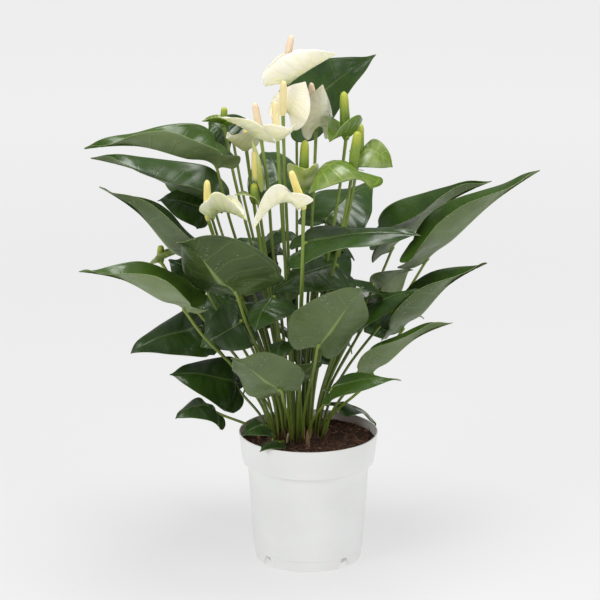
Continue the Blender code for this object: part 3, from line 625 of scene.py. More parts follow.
class Look:
    """A material and short ways to add its nodes."""

    def __init__(self, name, base, **settings):
        self.material = bpy.data.materials.new(name)
        self.material.use_nodes = True
        self.tree = self.material.node_tree
        self.shader = self.tree.nodes["Principled BSDF"]
        for key, value in settings.items():
            self.shader.inputs[key.replace("_", " ")].default_value = value
        self.base = base

    def node(self, kind, inputs=None, output=0, **settings):
        made = self.tree.nodes.new(kind)
        for key, value in settings.items():
            setattr(made, key, value)
        for key, value in (inputs or {}).items():
            self.put(made.inputs[key], value)
        return made.outputs[output]

    def put(self, socket, value):
        if isinstance(value, bpy.types.NodeSocket):
            self.tree.links.new(value, socket)
        else:
            socket.default_value = value

    def set(self, name, value):
        self.put(self.shader.inputs[name], value)

    def math(self, operation, *values):
        return self.node("ShaderNodeMath", dict(enumerate(values)), operation=operation)

    def times(self, first, second):
        return self.math("MULTIPLY", first, second)

    def plus(self, first, second):
        return self.math("ADD", first, second)

    def minus(self, first, second):
        return self.math("SUBTRACT", first, second)

    def ramp(self, value, low=0.0, high=1.0, start=0.0, end=1.0):
        """start where value is low, end where it is high, smooth between."""
        inputs = {0: value, 1: low, 2: high, 3: start, 4: end}
        return self.node("ShaderNodeMapRange", inputs, interpolation_type="SMOOTHSTEP")

    def paint(self, factor, colour, share=None):
        """Lays a colour over what is there, as much as the factor says, or that share of it."""
        made = self.tree.nodes.new("ShaderNodeMix")
        made.data_type = "RGBA"
        factor = factor if share is None else self.times(factor, share)
        for index, value in zip(MIX_SOCKETS, (factor, self.base, colour)):
            self.put(made.inputs[index], (*value, 1.0) if isinstance(value, tuple) else value)
        self.base = made.outputs[2]
        self.set("Base Color", self.base)

    def place(self):
        """Across and along values from the piece's own UV map."""
        split = self.tree.nodes.new("ShaderNodeSeparateXYZ")
        self.put(split.inputs[0], self.node("ShaderNodeUVMap", uv_map="UVMap"))
        return split.outputs[0], split.outputs[1]

    def tone(self):
        return self.ramp(self.node("ShaderNodeAttribute", output=2, attribute_name="tone"))

    def object_place(self, scale=(1.0, 1.0, 1.0)):
        found = self.node("ShaderNodeTexCoord", output=3)
        return self.node("ShaderNodeMapping", {"Vector": found, "Scale": scale})

    def noise(self, scale, detail=3.0, stretch=(1.0, 1.0, 1.0)):
        inputs = {"Vector": self.object_place(stretch), "Scale": scale, "Detail": detail}
        return self.node("ShaderNodeTexNoise", inputs)

    def cells(self, scale):
        return self.node("ShaderNodeTexVoronoi", {"Vector": self.object_place(), "Scale": scale})

    def spots(self, scale, low, high, most):
        """A small round mark in each cell of a pattern."""
        return self.ramp(self.cells(scale), low, high, most, 0.0)

    def roughen(self, value, low, high, least, most):
        self.set("Roughness", self.ramp(value, low, high, least, most))

    def bump(self, height, distance, strength, **under):
        inputs = {"Height": height, "Distance": distance, "Strength": strength, **under}
        made = self.node("ShaderNodeBump", inputs)
        self.set("Normal", made)
        return made


def side_veins(look, count, width, wander):
    """A mask of the veins that leave the midrib, one of the midrib, and the way out to the margin."""
    across, along = look.place()
    off = look.math("ABSOLUTE", look.math("MULTIPLY_ADD", across, 2.0, -1.0))
    right = look.math("GREATER_THAN", across, 0.5)
    drift = look.times(look.noise(30.0, 1.0), wander)
    run = look.plus(look.math("MULTIPLY_ADD", along, count, drift), look.times(right, VEIN_SHIFT))
    away = look.math("ABSOLUTE", look.minus(look.math("FRACT", run), 0.5))
    fade = look.times(look.ramp(off, 0.80, 0.93, 1.0, 0.0), look.ramp(along, 0.80, 0.95, 1.0, 0.0))
    vein = look.times(look.ramp(away, 0.0, width, 1.0, 0.0), fade)
    rim = look.ramp(look.math("ABSOLUTE", look.minus(off, 0.90)), 0.0, 0.022, 0.7, 0.0)
    rib = look.ramp(off, 0.012, 0.045, 1.0, 0.0)
    return look.math("MAXIMUM", vein, look.times(rim, look.ramp(along, 0.05, 0.2))), rib, off


def leaf_upper_look():
    settings = {"Specular_IOR_Level": 0.42, "Coat_Weight": 0.12, "Coat_Roughness": 0.22}
    look = Look("leaf_upper", (0.013, 0.036, 0.004), **settings)
    vein, rib, off = side_veins(look, LEAF_VEINS, 0.07, 0.6)
    fine = look.noise(420.0)
    look.paint(look.ramp(look.noise(22.0), 0.32, 0.68), (0.027, 0.068, 0.006))
    look.paint(look.tone(), (0.060, 0.120, 0.012))
    look.paint(look.ramp(fine, 0.4, 0.75), (0.042, 0.092, 0.020), 0.22)
    look.paint(vein, (0.055, 0.110, 0.028), 0.20)
    look.paint(rib, (0.125, 0.190, 0.045), 0.50)
    # a paler band along the margin: partly the margin's own paler colour, partly a painted highlight where
    # the margins catch the light
    look.paint(look.ramp(off, 0.975, 1.0, 0.0, 0.6), (0.130, 0.190, 0.050))
    look.roughen(look.noise(60.0, 4.0), 0.3, 0.75, 0.26, 0.44)
    height = look.minus(look.times(fine, 0.25), look.times(vein, 0.5))
    look.bump(look.plus(height, look.times(rib, 0.6)), 0.0004, 0.5)
    return look.material


def leaf_under_look():
    look = Look("leaf_under", (0.034, 0.062, 0.010), Specular_IOR_Level=0.42)
    vein, rib, _ = side_veins(look, LEAF_VEINS, 0.07, 0.6)
    fine = look.noise(520.0, 2.0)
    look.paint(look.ramp(look.noise(26.0), 0.32, 0.68), (0.052, 0.088, 0.015))
    look.paint(look.tone(), (0.210, 0.275, 0.115))
    look.paint(look.ramp(look.noise(14.0, 4.0), 0.42, 0.72), (0.034, 0.064, 0.010), 0.45)
    look.paint(look.ramp(fine, 0.35, 0.7), (0.076, 0.120, 0.036), 0.15)
    look.paint(vein, (0.150, 0.210, 0.060), 0.34)
    look.paint(rib, (0.210, 0.290, 0.080), 0.85)
    wet = look.ramp(look.noise(40.0, 2.0), 0.52, 0.62)
    look.paint(look.spots(330.0, 0.10, 0.22, 0.75), (0.50, 0.54, 0.45), wet)
    look.roughen(look.noise(80.0), 0.3, 0.7, 0.36, 0.52)
    height = look.plus(look.times(vein, 0.7), look.times(fine, 0.25))
    look.bump(look.plus(height, rib), 0.0005, 0.6)
    return look.material


def leaf_edge_look():
    look = Look("leaf_edge", (0.160, 0.220, 0.070), Roughness=0.4)
    look.paint(look.noise(90.0), (0.240, 0.310, 0.110))
    look.bump(look.noise(500.0), 0.0002, 0.4)
    return look.material


def stem_look(name, foot, middle, top):
    """A petiole or a flower stalk: its colour changes from its foot to its top."""
    look = Look(name, foot)
    _, along = look.place()
    streak = look.noise(1.0, 3.0, (420.0, 420.0, 26.0))
    look.paint(look.ramp(along, 0.02, 0.22), middle)
    look.paint(look.ramp(along, 0.45, 0.95), top)
    look.paint(look.ramp(streak, 0.4, 0.7), (0.20, 0.29, 0.06), 0.30)
    look.paint(look.tone(), (0.30, 0.36, 0.10))
    look.paint(look.spots(700.0, 0.08, 0.2, 1.0), (0.26, 0.22, 0.08), 0.25)
    look.roughen(streak, 0.3, 0.7, 0.32, 0.5)
    look.bump(streak, 0.0003, 0.5)
    return look.material


def spathe_look(name, pale, warm, green):
    """A waxy spathe, greener at its foot and along its veins; tone 1 makes it all green."""
    look = Look(name, pale, Subsurface_Weight=0.6, Subsurface_Scale=0.003, Coat_Weight=0.1)
    look.set("Subsurface Radius", (0.7, 0.8, 0.4))
    vein, rib, off = side_veins(look, SPATHE_VEINS, 0.13, 0.35)
    veins = look.math("MAXIMUM", vein, rib)
    _, along = look.place()
    tone = look.node("ShaderNodeAttribute", output=2, attribute_name="tone")
    broad, fine = look.noise(34.0), look.noise(300.0)
    reach = look.times(look.ramp(off, 0.25, 1.0, 1.0, 0.0), look.ramp(along, 0.10, 0.62, 1.0, 0.0))
    amount = look.plus(look.times(reach, 0.30), look.times(tone, 1.1))
    patch = look.times(look.minus(broad, 0.5), 0.9)
    amount = look.plus(amount, look.times(patch, look.ramp(tone, 0.1, 0.5)))
    look.paint(look.ramp(broad, 0.35, 0.7), warm)
    look.paint(look.ramp(amount), green)
    look.paint(veins, (0.42, 0.52, 0.12), look.ramp(tone, 0.0, 0.8, 0.08, 0.30))
    look.roughen(fine, 0.3, 0.7, 0.28, 0.42)
    look.bump(look.minus(look.times(fine, 0.3), veins), 0.0004, 0.55)
    return look.material


def spadix_look(name, foot, middle, tip):
    look = Look(name, foot, Roughness=0.55)
    _, along = look.place()
    grain = look.cells(900.0)
    look.paint(look.ramp(along, 0.05, 0.4), middle)
    look.paint(look.ramp(along, 0.5, 0.95), tip)
    look.paint(look.ramp(grain, 0.2, 0.7), tip, 0.3)
    look.bump(grain, 0.0003, 0.6)
    return look.material


def pot_look():
    look = Look("pot_white_plastic", (0.80, 0.80, 0.785), Subsurface_Weight=0.12, Subsurface_Scale=0.004)
    turned = look.noise(1.0, 3.0, (14.0, 14.0, 700.0))
    look.paint(look.ramp(look.noise(9.0), 0.3, 0.7), (0.86, 0.86, 0.85))
    look.paint(look.ramp(turned, 0.45, 0.75), (0.70, 0.70, 0.68), 0.10)
    dust = look.times(look.spots(260.0, 0.05, 0.12, 1.0), 0.25)
    look.paint(dust, (0.38, 0.33, 0.27), look.ramp(look.noise(30.0), 0.5, 0.65))
    look.roughen(look.noise(70.0, 4.0), 0.3, 0.7, 0.34, 0.50)
    lines = look.bump(turned, 0.0003, 0.25)
    look.bump(look.noise(900.0), 0.0002, 0.25, Normal=lines)
    return look.material


def coir_look():
    look = Look("coir_mix", (0.010, 0.005, 0.003), Roughness=0.95)
    fine = look.noise(900.0)
    look.paint(look.ramp(look.noise(120.0, 5.0), 0.35, 0.7), (0.085, 0.032, 0.018))
    look.paint(look.tone(), (0.400, 0.200, 0.105))
    look.paint(fine, (0.10, 0.050, 0.032), 0.35)
    look.bump(fine, 0.0012, 0.7)
    return look.material


def sheath_look():
    look = Look("dry_sheath", (0.060, 0.026, 0.012), Roughness=0.75)
    streak = look.noise(1.0, 4.0, (500.0, 500.0, 40.0))
    look.paint(look.ramp(streak, 0.35, 0.7), (0.210, 0.105, 0.050))
    look.paint(look.tone(), (0.36, 0.24, 0.12))
    look.bump(streak, 0.0006, 0.8)
    return look.material


def root_look():
    settings = {"Roughness": 0.6, "Subsurface_Weight": 0.1, "Subsurface_Scale": 0.002}
    look = Look("aerial_root", (0.42, 0.36, 0.20), **settings)
    grain = look.noise(400.0)
    look.paint(look.ramp(grain, 0.3, 0.7), (0.60, 0.56, 0.36))
    look.paint(look.tone(), (0.20, 0.13, 0.07))
    look.bump(grain, 0.0005, 0.6)
    return look.material


def make_looks():
    return {
        "upper": leaf_upper_look(),
        "under": leaf_under_look(),
        "edge": leaf_edge_look(),
        "petiole": stem_look("petiole", (0.095, 0.055, 0.018), (0.090, 0.132, 0.010),
        (0.180, 0.240, 0.030)),
        "stalk": stem_look("stalk", (0.095, 0.065, 0.020), (0.085, 0.130, 0.010), (0.200, 0.280, 0.035)),
        "spathe": spathe_look("spathe_cream", (0.87, 0.85, 0.72), (0.85, 0.80, 0.60), (0.40, 0.50, 0.08)),
        "old_spathe": spathe_look("spathe_green", (0.68, 0.70, 0.36), (0.42, 0.48, 0.06),
        (0.095, 0.170, 0.008)),
        "spadix_pink": spadix_look("spadix_pink", (0.86, 0.80, 0.52), (0.86, 0.72, 0.50),
        (0.85, 0.65, 0.46)),
        "spadix": spadix_look("spadix_cream", (0.84, 0.76, 0.42), (0.86, 0.76, 0.42), (0.84, 0.70, 0.36)),
        "spadix_yellow": spadix_look("spadix_yellow", (0.72, 0.68, 0.20), (0.84, 0.72, 0.22),
        (0.86, 0.72, 0.26)),
        "spadix_green": spadix_look("spadix_green", (0.10, 0.20, 0.014), (0.13, 0.24, 0.018),
        (0.42, 0.46, 0.05)),
        "pot": pot_look(),
        "coir": coir_look(),
        "sheath": sheath_look(),
        "root": root_look(),
    }


def veined_height(place, across, count):
    """The quilting between side veins, 0 at a vein and 1 midway."""
    share = place * count + np.where(across > 0, VEIN_SHIFT, 0.0) + 0.3
    between = 1 - (2 * (share - np.floor(share)) - 1) ** 2
    fade = smooth(np.abs(across), 0.04, 0.3) * (1 - smooth(np.abs(across), 0.72, 0.92))
    return between * fade * (1 - smooth(place, 0.75, 0.95))


def margin_wave(place, across, rng, turns, start, size):
    """A wave along the margin with its own phase in each half, calm at the sinus and the tip."""
    phase = np.where(across < 0, rng.uniform(0, math.tau), rng.uniform(0, math.tau))
    wave = np.sin(place * rng.uniform(*turns) * math.tau + phase) * np.abs(across) ** 3
    return wave * smooth(place, 0.0, start) * (1 - smooth(place, 0.8, 1.0)) * size


def raised(shape, grid, height):
    """The grid with its points moved along their normals, and the normals found again."""
    points, normals, place, across = grid
    points = points + normals * height[..., None]
    return points, grid_normals(points, np.array(blade_axes(shape[0], shape[1], shape[3]))[2]), place, across


def leaf_grid(name, shape, wave):
    """The fine blade with its quilting, wavy margin and a little unevenness."""
    grid = blade_grid(LEAF_OUTLINE, shape, LEAF_FINE)
    points, _, place, across = grid
    rng = random.Random(name)
    width = shape[2]
    height = margin_wave(place, across, rng, (1.6, 2.6), 0.12, wave * width)
    height += veined_height(place, across, LEAF_VEINS) * LEAF_QUILT * width
    seed = Vector((rng.uniform(-9, 9), rng.uniform(-9, 9), rng.uniform(-9, 9)))
    uneven = [noise.noise(Vector(point) * UNEVEN_SCALE + seed) for point in points.reshape(-1, 3)]
    height += np.reshape(uneven, place.shape) * UNEVEN * width * smooth(np.abs(across), 0.1, 0.6)
    height += np.exp(-((across / RIB_WIDTH) ** 2)) * RIB_RISE * (1 - 0.7 * place)
    sway = np.sin((place - 0.15) / 0.85 * math.tau) * smooth(place, 0.15, 0.4)
    return raised(shape, grid, height - sway * rng.uniform(0.02, 0.05) * width)


def leaf_thickness(place, across, width):
    """Thick at the midrib, thin at the margin."""
    reach = np.abs(across) * width / 2
    rib = 0.0016 * np.exp(-((reach / 0.0016) ** 2)) * (1 - 0.75 * place)
    return 0.00045 + 0.0005 * (1 - np.abs(across)) + rib


def petiole_radii(shares, radius):
    """A petiole swells at its foot and just under the blade."""
    foot = 0.35 * (1 - smooth(shares, 0.0, 0.10))
    knee = 0.38 * smooth(shares, 0.89, 0.93) * (1 - 0.5 * smooth(shares, 0.97, 1.0))
    return radius * (0.80 + foot + knee)


def make_leaf(name, row, path, looks, nodes):
    shape = leaf_shape(row)
    tone, wave = row[6:]
    grid = leaf_grid(name, shape, wave)
    shell = Shell()
    add_blade(shell, grid, leaf_thickness(grid[2], grid[3], shape[2]), tone, (0, 1, 2))
    rib = blade_grid(LEAF_OUTLINE, shape, LEAF_GRID)[0][1, LEAF_GRID[1] // 2]
    line, shares = smooth_path([*path, rib], STEM_RINGS)
    radii = petiole_radii(shares, PETIOLE_RADIUS)
    radii[-3:] *= PETIOLE_TAPER
    add_tube(shell, line, radii, STEM_SIDES, 0.0, 3)
    materials = [looks[kind] for kind in ("upper", "under", "edge", "petiole")]
    shell.build(name + "_shape", materials, nodes)


def add_spathe(shell, name, row, offset):
    shape = spathe_shape(row, offset)
    grid = blade_grid(SPATHE_OUTLINE, shape, SPATHE_FINE)
    place, across = grid[2:]
    width = shape[2]
    height = margin_wave(place, across, random.Random(name), (1.2, 2.0), 0.2, SPATHE_WAVE * width)
    height += veined_height(place, across, SPATHE_VEINS) * SPATHE_QUILT * width
    add_blade(shell, raised(shape, grid, height), spathe_thickness(place, across), row[8], (0, 0, 0))


def spathe_thickness(place, across):
    return 0.0006 + 0.0006 * (1 - np.abs(across)) + 0.0006 * np.exp(-((across / 0.05) ** 2)) * (1 - place)


def add_flower_stem(shell, row, path, kinds, swell):
    """The stalk and the spadix with its spiral rows of tiny flowers."""
    length, lean = row[6], Vector(row[7]).normalized()
    line, shares = smooth_path(path, STEM_RINGS)
    foot, top = 0.3 * (1 - smooth(shares, 0.0, 0.08)), 0.12 * smooth(shares, 0.9, 1.0)
    add_tube(shell, line, PEDUNCLE_RADIUS * (0.78 + foot + top), STEM_SIDES, 0.0, kinds[0])
    direction = np.array(lean)
    shares = np.linspace(0, 1, SPADIX_RINGS)
    start = np.array(path[-1]) - direction * SPADIX_SINK
    bend = np.array(lean.orthogonal()) * SPADIX_BEND * length
    axis = start + shares[:, None] * direction * (length + SPADIX_SINK) + (shares**2)[:, None] * bend
    profile = np.array(((0.0, 0.9), (0.04, 1.3), *SPADIX[:-1], (0.93, 1.35), (0.975, 0.95), (1.0, 0.25)))
    radii = np.interp(shares, profile[:, 0], profile[:, 1]) * swell
    angle = np.arange(SPADIX_SIDES) / SPADIX_SIDES * math.tau
    climb = (shares * length / FLORET_PITCH * math.pi)[:, None]
    turn = FLORET_TURNS * angle / 2
    florets = np.abs(np.cos(turn + climb) * np.cos(turn - climb))
    calm = smooth(shares, 0.02, 0.08) * (1 - smooth(shares, 0.97, 1.0))
    relief = (florets**0.6 - 0.5) * FLORET_RISE * calm[:, None] * swell
    add_tube(shell, axis, radii, SPADIX_SIDES, 0.0, kinds[1], relief)


def make_flower(name, row, path, looks):
    """An open flower: the stem and the spathe are pieces of their own."""
    shell = Shell()
    add_flower_stem(shell, row, path, (0, 1), PEDUNCLE_RADIUS)
    shell.build(name + "_stem_shape", [looks["stalk"], looks[row[9]]], (name + "_stem",))
    shell = Shell()
    add_spathe(shell, name, row, SPATHE_OFFSET)
    shell.build(name + "_spathe_shape", [looks["spathe"]], (name + "_spathe",))


def make_seed_flower(name, row, path, looks):
    shell = Shell()
    add_spathe(shell, name, row, 0)
    swell = OLD_SWELL if name.startswith("old") else 1.0
    add_flower_stem(shell, row, path, (1, 2), swell * PEDUNCLE_RADIUS)
    materials = [looks["old_spathe"], looks["stalk"], looks[row[9]]]
    shell.build(name + "_shape", materials, (name,))


def turned_mesh(profile, sides):
    """A solid of revolution from a profile that starts and ends on the axis."""
    angle = np.arange(sides) / sides * math.tau
    inner = np.array(profile[1:-1])
    points = [(0, 0, profile[0][1]), (0, 0, profile[-1][1])]
    out, up = inner[:, :1], inner[:, 1:] * np.ones(sides)
    rings = np.stack([out * np.cos(angle), out * np.sin(angle), up], -1)
    faces = grid_faces(len(inner) - 1, sides, 2, closed=True)
    last = 2 + (len(inner) - 1) * sides
    for side in range(sides):
        beside = (side + 1) % sides
        faces.append((0, 2 + beside, 2 + side)[::-1])
        faces.append((1, last + side, last + beside)[::-1])
    return np.concatenate([points, rings.reshape(-1, 3)]), [face[::-1] for face in faces]


def rounded(profile, radius, steps=4):
    """The profile with each corner that isn't on the axis rounded by a short arc."""
    made = [profile[0]]
    for before, corner, after in zip(profile, profile[1:], profile[2:]):
        before, corner, after = np.array(before), np.array(corner), np.array(after)
        back, ahead = before - corner, after - corner
        reach = min(radius, np.linalg.norm(back) * 0.45, np.linalg.norm(ahead) * 0.45)
        start = corner + back / np.linalg.norm(back) * reach
        end = corner + ahead / np.linalg.norm(ahead) * reach
        for share in np.linspace(0, 1, steps):
            bend = corner * 2 * share * (1 - share)
            made.append(tuple(start * (1 - share) ** 2 + bend + end * share**2))
    made.append(profile[-1])
    return made


def make_pot(looks):
    step = POT_HEIGHT - COLLAR_HEIGHT
    foot = body_radius(FOOT_HEIGHT) - FOOT_INSET
    plate = foot - POT_WALL - CHANNEL_WIDTH
    profile = [
        (0, POT_WALL),
        (plate - POT_WALL, POT_WALL),
        (plate - POT_WALL, FOOT_HEIGHT + POT_WALL),
        (body_radius(FOOT_HEIGHT + POT_WALL) - POT_WALL, FOOT_HEIGHT + POT_WALL),
        (body_radius(step) - POT_WALL, step + POT_WALL),
        (collar_radius(step) - POT_WALL, step + POT_WALL),
        (RIM_RADIUS - POT_WALL, POT_HEIGHT - POT_LIP),
        (RIM_RADIUS - POT_WALL + POT_LIP, POT_HEIGHT),
        (RIM_RADIUS - POT_LIP, POT_HEIGHT),
        (RIM_RADIUS, POT_HEIGHT - POT_LIP),
        (collar_radius(step), step + POT_LIP),
        (collar_radius(step) - POT_LIP, step),
        (body_radius(step), step),
        (body_radius(FOOT_HEIGHT), FOOT_HEIGHT + POT_LIP),
        (foot, FOOT_HEIGHT - POT_LIP),
        (foot - POT_LIP, 0),
        (foot - POT_WALL, 0),
        (foot - POT_WALL, FOOT_HEIGHT),
        (plate, FOOT_HEIGHT),
        (plate, 0),
        (0, 0),
    ]
    points, faces = turned_mesh(rounded(profile, POT_ROUNDING), POT_SIDES)
    pot = mesh_object("pot_shape", points, faces, None, [looks["pot"]])
    for index in range(NOTCH_COUNT):
        cutter = notch_cutter(math.radians(45 + NOTCH_TURN) + index * math.tau / NOTCH_COUNT, foot)
        modifier = pot.modifiers.new("notch", "BOOLEAN")
        modifier.operation, modifier.solver, modifier.object = "DIFFERENCE", "EXACT", cutter
    graph = bpy.context.evaluated_depsgraph_get()
    cut = bpy.data.meshes.new_from_object(pot.evaluated_get(graph))
    for modifier in list(pot.modifiers):
        cutter = modifier.object
        pot.modifiers.remove(modifier)
        bpy.data.objects.remove(cutter)
    pot.data = cut
    sharpen(pot, 35)
    placed(pot, ("pot",))


def sharpen(obj, degrees):
    """Edges steeper than this shade sharp."""
    work = bmesh.new()
    work.from_mesh(obj.data)
    for edge in work.edges:
        edge.smooth = len(edge.link_faces) == 2 and edge.calc_face_angle(0) < math.radians(degrees)
    work.to_mesh(obj.data)
    work.free()


def notch_cutter(turn, foot):
    """A trapezoid bar through the foot's wall, wide at the bottom."""
    below = 0.002
    top = FOOT_HEIGHT - POT_WALL / 2
    spread = (NOTCH_BOTTOM - NOTCH_TOP) / 2 / top
    low = NOTCH_BOTTOM / 2 + spread * below
    near, far = foot - POT_WALL - CHANNEL_WIDTH / 2, foot + POT_WALL
    corners = [
        Matrix.Rotation(turn, 3, "Z") @ Vector((x, side * (low if z < 0 else NOTCH_TOP / 2), z))
        for x in (near, far)
        for side in (-1, 1)
        for z in (-below, top)
    ]
    faces = [(0, 1, 3, 2), (4, 6, 7, 5), (0, 4, 5, 1), (2, 3, 7, 6), (0, 2, 6, 4), (1, 5, 7, 3)]
    return mesh_object("notch", corners, faces)


def make_soil(looks):
    """The mix: a lumpy top in the pot, and a plain plug below."""
    step = POT_HEIGHT - COLLAR_HEIGHT
    gap = POT_WALL + CLEARANCE
    ledge = FOOT_HEIGHT + gap
    top = soil_top()
    edge = collar_radius(top) - gap
    turns = [side / SOIL_SIDES * math.tau for side in range(SOIL_SIDES)]
    points = []
    for row in range(SOIL_RINGS + 1):
        share = row / SOIL_RINGS
        radius = edge * share**0.8
        for angle in turns:
            x, y = radius * math.cos(angle), radius * math.sin(angle)
            lump = noise.noise(Vector((x, y, 0)) * 90) + 0.6 * noise.noise(Vector((x, y, 3)) * 260)
            heap = HEAP * math.exp(-(((x - CROWN.x) / 0.05) ** 2 + (y / 0.045) ** 2))
            points.append((x, y, top - 0.0010 + LUMP * lump * (1 - share**8) + heap))
    below = (
        (collar_radius(step + gap) - gap, step + gap),
        (body_radius(step) - gap, step + gap),
        (body_radius(ledge) - gap, ledge),
    )
    for radius, height in below:
        points += [(radius * math.cos(angle), radius * math.sin(angle), height) for angle in turns]
    rows = SOIL_RINGS + len(below)
    faces = grid_faces(rows, SOIL_SIDES, closed=True)
    faces.append(tuple(range(SOIL_SIDES))[::-1])
    faces.append(tuple(rows * SOIL_SIDES + side for side in range(SOIL_SIDES)))
    made = mesh_object("soil_shape", points, [face[::-1] for face in faces], None, [looks["coir"]], None, 0.0)
    placed(made, ("soil",))


def place_on_mix(rng, edge, height):
    radius, angle = edge * math.sqrt(rng.random()), rng.uniform(0, math.tau)
    return Vector((radius * math.cos(angle), radius * math.sin(angle), height))


def make_fibres(looks):
    """Loose coir fibres and bits of bark on the mix."""
    rng = random.Random(7)
    shell = Shell()
    edge = collar_radius(soil_top()) - POT_WALL - CLEARANCE - 0.002
    for _ in range(FIBRES):
        middle = place_on_mix(rng, edge, soil_top())
        length = rng.uniform(0.003, 0.016)
        heading, pitch = rng.uniform(0, math.tau), abs(rng.gauss(0, 0.32))
        level = math.cos(pitch)
        direction = Vector((math.cos(heading) * level, math.sin(heading) * level, math.sin(pitch)))
        curl = Vector((rng.uniform(-1, 1), rng.uniform(-1, 1), rng.uniform(0, 0.7))) * length * 0.35
        path = []
        for share in (0.0, 0.25, 0.5, 0.75, 1.0):
            place = middle + direction * length * (share - 0.3) + curl * (share - 0.3) ** 2
            reach = math.hypot(place.x, place.y)
            if reach > edge and place.z < POT_HEIGHT + 0.001:
                place.x, place.y = place.x * edge / reach, place.y * edge / reach
            path.append(tuple(place))
        radii = rng.uniform(0.00012, 0.00042) * np.array((0.7, 1.0, 1.0, 0.8, 0.3))
        add_tube(shell, path, radii, 4, rng.random() ** 1.3, 0)
    for _ in range(CHIPS):
        add_chip(shell, place_on_mix(rng, edge, soil_top() + 0.0006), rng)
    shell.build("coir_fibres", [looks["coir"]])


def add_chip(shell, middle, rng):
    """A small uneven crumb of bark or coir."""
    size = Vector((rng.uniform(0.0008, 0.0026), rng.uniform(0.0006, 0.0016), rng.uniform(0.0004, 0.0012)))
    heading = Matrix.Rotation(rng.uniform(0, math.tau), 3, "Z")
    turn = heading @ Matrix.Rotation(rng.uniform(-0.6, 0.6), 3, "X")
    ball = bmesh.new()
    bmesh.ops.create_icosphere(ball, subdivisions=2, radius=1.0)
    points = []
    for vertex in ball.verts:
        swell = 1 + 0.35 * noise.noise(vertex.co * 2 + middle * 400)
        points.append(middle + turn @ Vector(value * half * swell for value, half in zip(vertex.co, size)))
    faces = [tuple(corner.index for corner in face.verts) for face in ball.faces]
    ball.free()
    shell.add(points, faces, np.zeros((len(points), 2)), rng.random() * 0.8, 0)


def make_sheaths(looks, stems):
    """Dry sheaths that wrap the feet of the stems."""
    rng = random.Random(21)
    shell = Shell()
    rows, columns = SHEATH_FINE
    for path in stems.values():
        if rng.random() < 0.15:
            continue
        foot, above = Vector(path[0]), Vector(path[2])
        direction = (above - foot).normalized()
        length, radius = rng.uniform(0.008, 0.026), rng.uniform(0.0027, 0.0033)
        first = direction.orthogonal().normalized()
        second = direction.cross(first)
        turn, open_angle = rng.uniform(0, math.tau), rng.uniform(2.6, 4.6)
        points = []
        for row in range(rows + 1):
            up = row / rows
            for column in range(columns + 1):
                share = column / columns
                angle = turn + (share - 0.5) * open_angle * (1 - 0.92 * up**1.5)
                flare = radius * (0.90 + 0.30 * up**2 + 0.12 * noise.noise(Vector((up * 3, share * 4, turn))))
                around = first * math.cos(angle) + second * math.sin(angle)
                points.append(foot - direction * 0.002 + direction * (length * up) + around * flare)
        points = np.array(points).reshape(rows + 1, columns + 1, 3)
        shares = np.linspace(0, 1, rows + 1), np.linspace(-1, 1, columns + 1)
        grid = points, grid_normals(points, np.array(first)), *np.meshgrid(*shares, indexing="ij")
        thickness = np.full((rows + 1, columns + 1), SHEATH_THICKNESS)
        add_blade(shell, grid, thickness, rng.random() ** 2, (0, 0, 0))
    shell.build("dry_sheaths", [looks["sheath"]])


def make_roots(looks):
    """Stubby aerial roots and the knobbly crown just above the mix."""
    rng = random.Random(5)
    shell = Shell()
    for _ in range(ROOTS):
        angle, spread = rng.uniform(0, math.tau), math.sqrt(rng.random()) * 0.95
        out = spread * math.cos(angle), spread * math.sin(angle)
        height = rng.uniform(soil_top() - 0.001, soil_top() + 0.012)
        foot = Vector((CROWN.x + CROWN_RADIUS.x * out[0], CROWN.y + CROWN_RADIUS.y * out[1], height))
        heading = math.atan2(foot.y - CROWN.y, foot.x - CROWN.x) + rng.uniform(-0.8, 0.8)
        length = rng.uniform(0.006, 0.016)
        reach = Vector((math.cos(heading), math.sin(heading), 0)) * length
        middle, end = reach * 0.5 + Vector((0, 0, 0.001)), reach - Vector((0, 0, length * 0.55))
        line, shares = smooth_path([foot, foot + middle, foot + end], ROOT_RINGS)
        radii = rng.uniform(0.0008, 0.0014) * np.sqrt(np.maximum(1 - shares**4, 0.05))
        add_tube(shell, line, radii, ROOT_SIDES, rng.random(), 0)
    shell.build("aerial_roots", [looks["root"]])


def make_camera():
    camera = bpy.data.objects.new("camera", bpy.data.cameras.new("camera"))
    camera.data.sensor_width = 36
    camera.data.lens = 123.54
    camera.location = (-0.0102, -2.4, 0.9545)
    camera.rotation_euler = (math.radians(90 - 14.7), 0, 0)
    bpy.context.scene.collection.objects.link(camera)
    bpy.context.scene.camera = camera


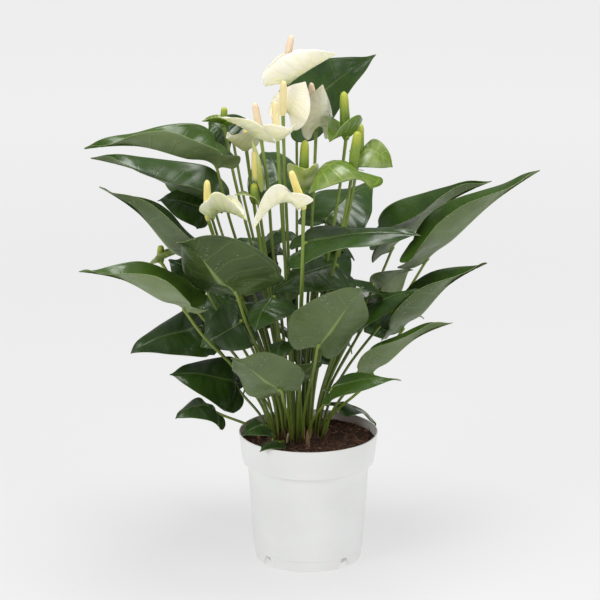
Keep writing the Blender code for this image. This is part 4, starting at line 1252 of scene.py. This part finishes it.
def make_stage():
    """A pale floor that reaches past every view, lit a little from within so that it stays even."""
    reach, sides = FLOOR_RADIUS, 64
    angle = np.arange(sides) / sides * math.tau
    points = np.stack([reach * np.cos(angle), reach * np.sin(angle), np.zeros(sides)], -1)
    look = Look("floor", (0.22, 0.22, 0.22), Roughness=0.95, Specular_IOR_Level=0.0)
    look.paint(look.noise(0.6, 1.0), (0.23, 0.23, 0.23))
    look.set("Emission Color", (1.0, 1.0, 1.0, 1.0))
    place = look.node("ShaderNodeTexCoord", output=3)
    away = look.node("ShaderNodeVectorMath", {0: place}, output=1, operation="LENGTH")
    look.set("Emission Strength", look.ramp(away, 0.2, 3.6, 0.620, 0.780))
    mesh_object("floor", points, [tuple(range(sides))], None, [look.material])


def make_light(name, place, target, size, power):
    light = bpy.data.lights.new(name, "AREA")
    light.shape, light.size, light.size_y = "RECTANGLE", size[0], size[1]
    light.energy = power
    made = bpy.data.objects.new(name, light)
    made.location = place
    made.rotation_euler = (Vector(target) - Vector(place)).to_track_quat("-Z", "Y").to_euler()
    bpy.context.scene.collection.objects.link(made)


def make_lights():
    world = bpy.data.worlds.new("studio")
    world.use_nodes = True
    background = world.node_tree.nodes["Background"]
    background.inputs["Color"].default_value = (1, 1, 1, 1)
    background.inputs["Strength"].default_value = 0.30
    bpy.context.scene.world = world
    bpy.context.scene.view_settings.view_transform = "Standard"
    middle = (0, 0, 0.35)
    make_light("top", (0.1, -0.1, 2.4), middle, (1.1, 1.1), 40)
    make_light("left", (-1.8, -1.5, 1.2), middle, (0.9, 1.6), 26)
    make_light("right", (1.8, -1.3, 1.1), middle, (0.9, 1.6), 18)


def main():
    looks = make_looks()
    stems = plant_stems()
    make_pot(looks)
    make_soil(looks)
    make_fibres(looks)
    make_sheaths(looks, stems)
    make_roots(looks)
    for name, row in LEAVES.items():
        make_leaf(name, row, stems[name], looks, (name,))
    for number, row in enumerate(EXTRA_LEAVES, 1):
        path = stem_path(scaled(row[0]))
        make_leaf(f"extra_leaf_{number}", (*row, EXTRA_LEAF_WAVE), path, looks, ())
    for name, row in FLOWERS.items():
        make_flower(name, row, stems[name], looks)
    for name, row in SEED_FLOWERS.items():
        make_seed_flower(name, row, stems[name], looks)
    make_camera()
    make_stage()
    make_lights()


main()
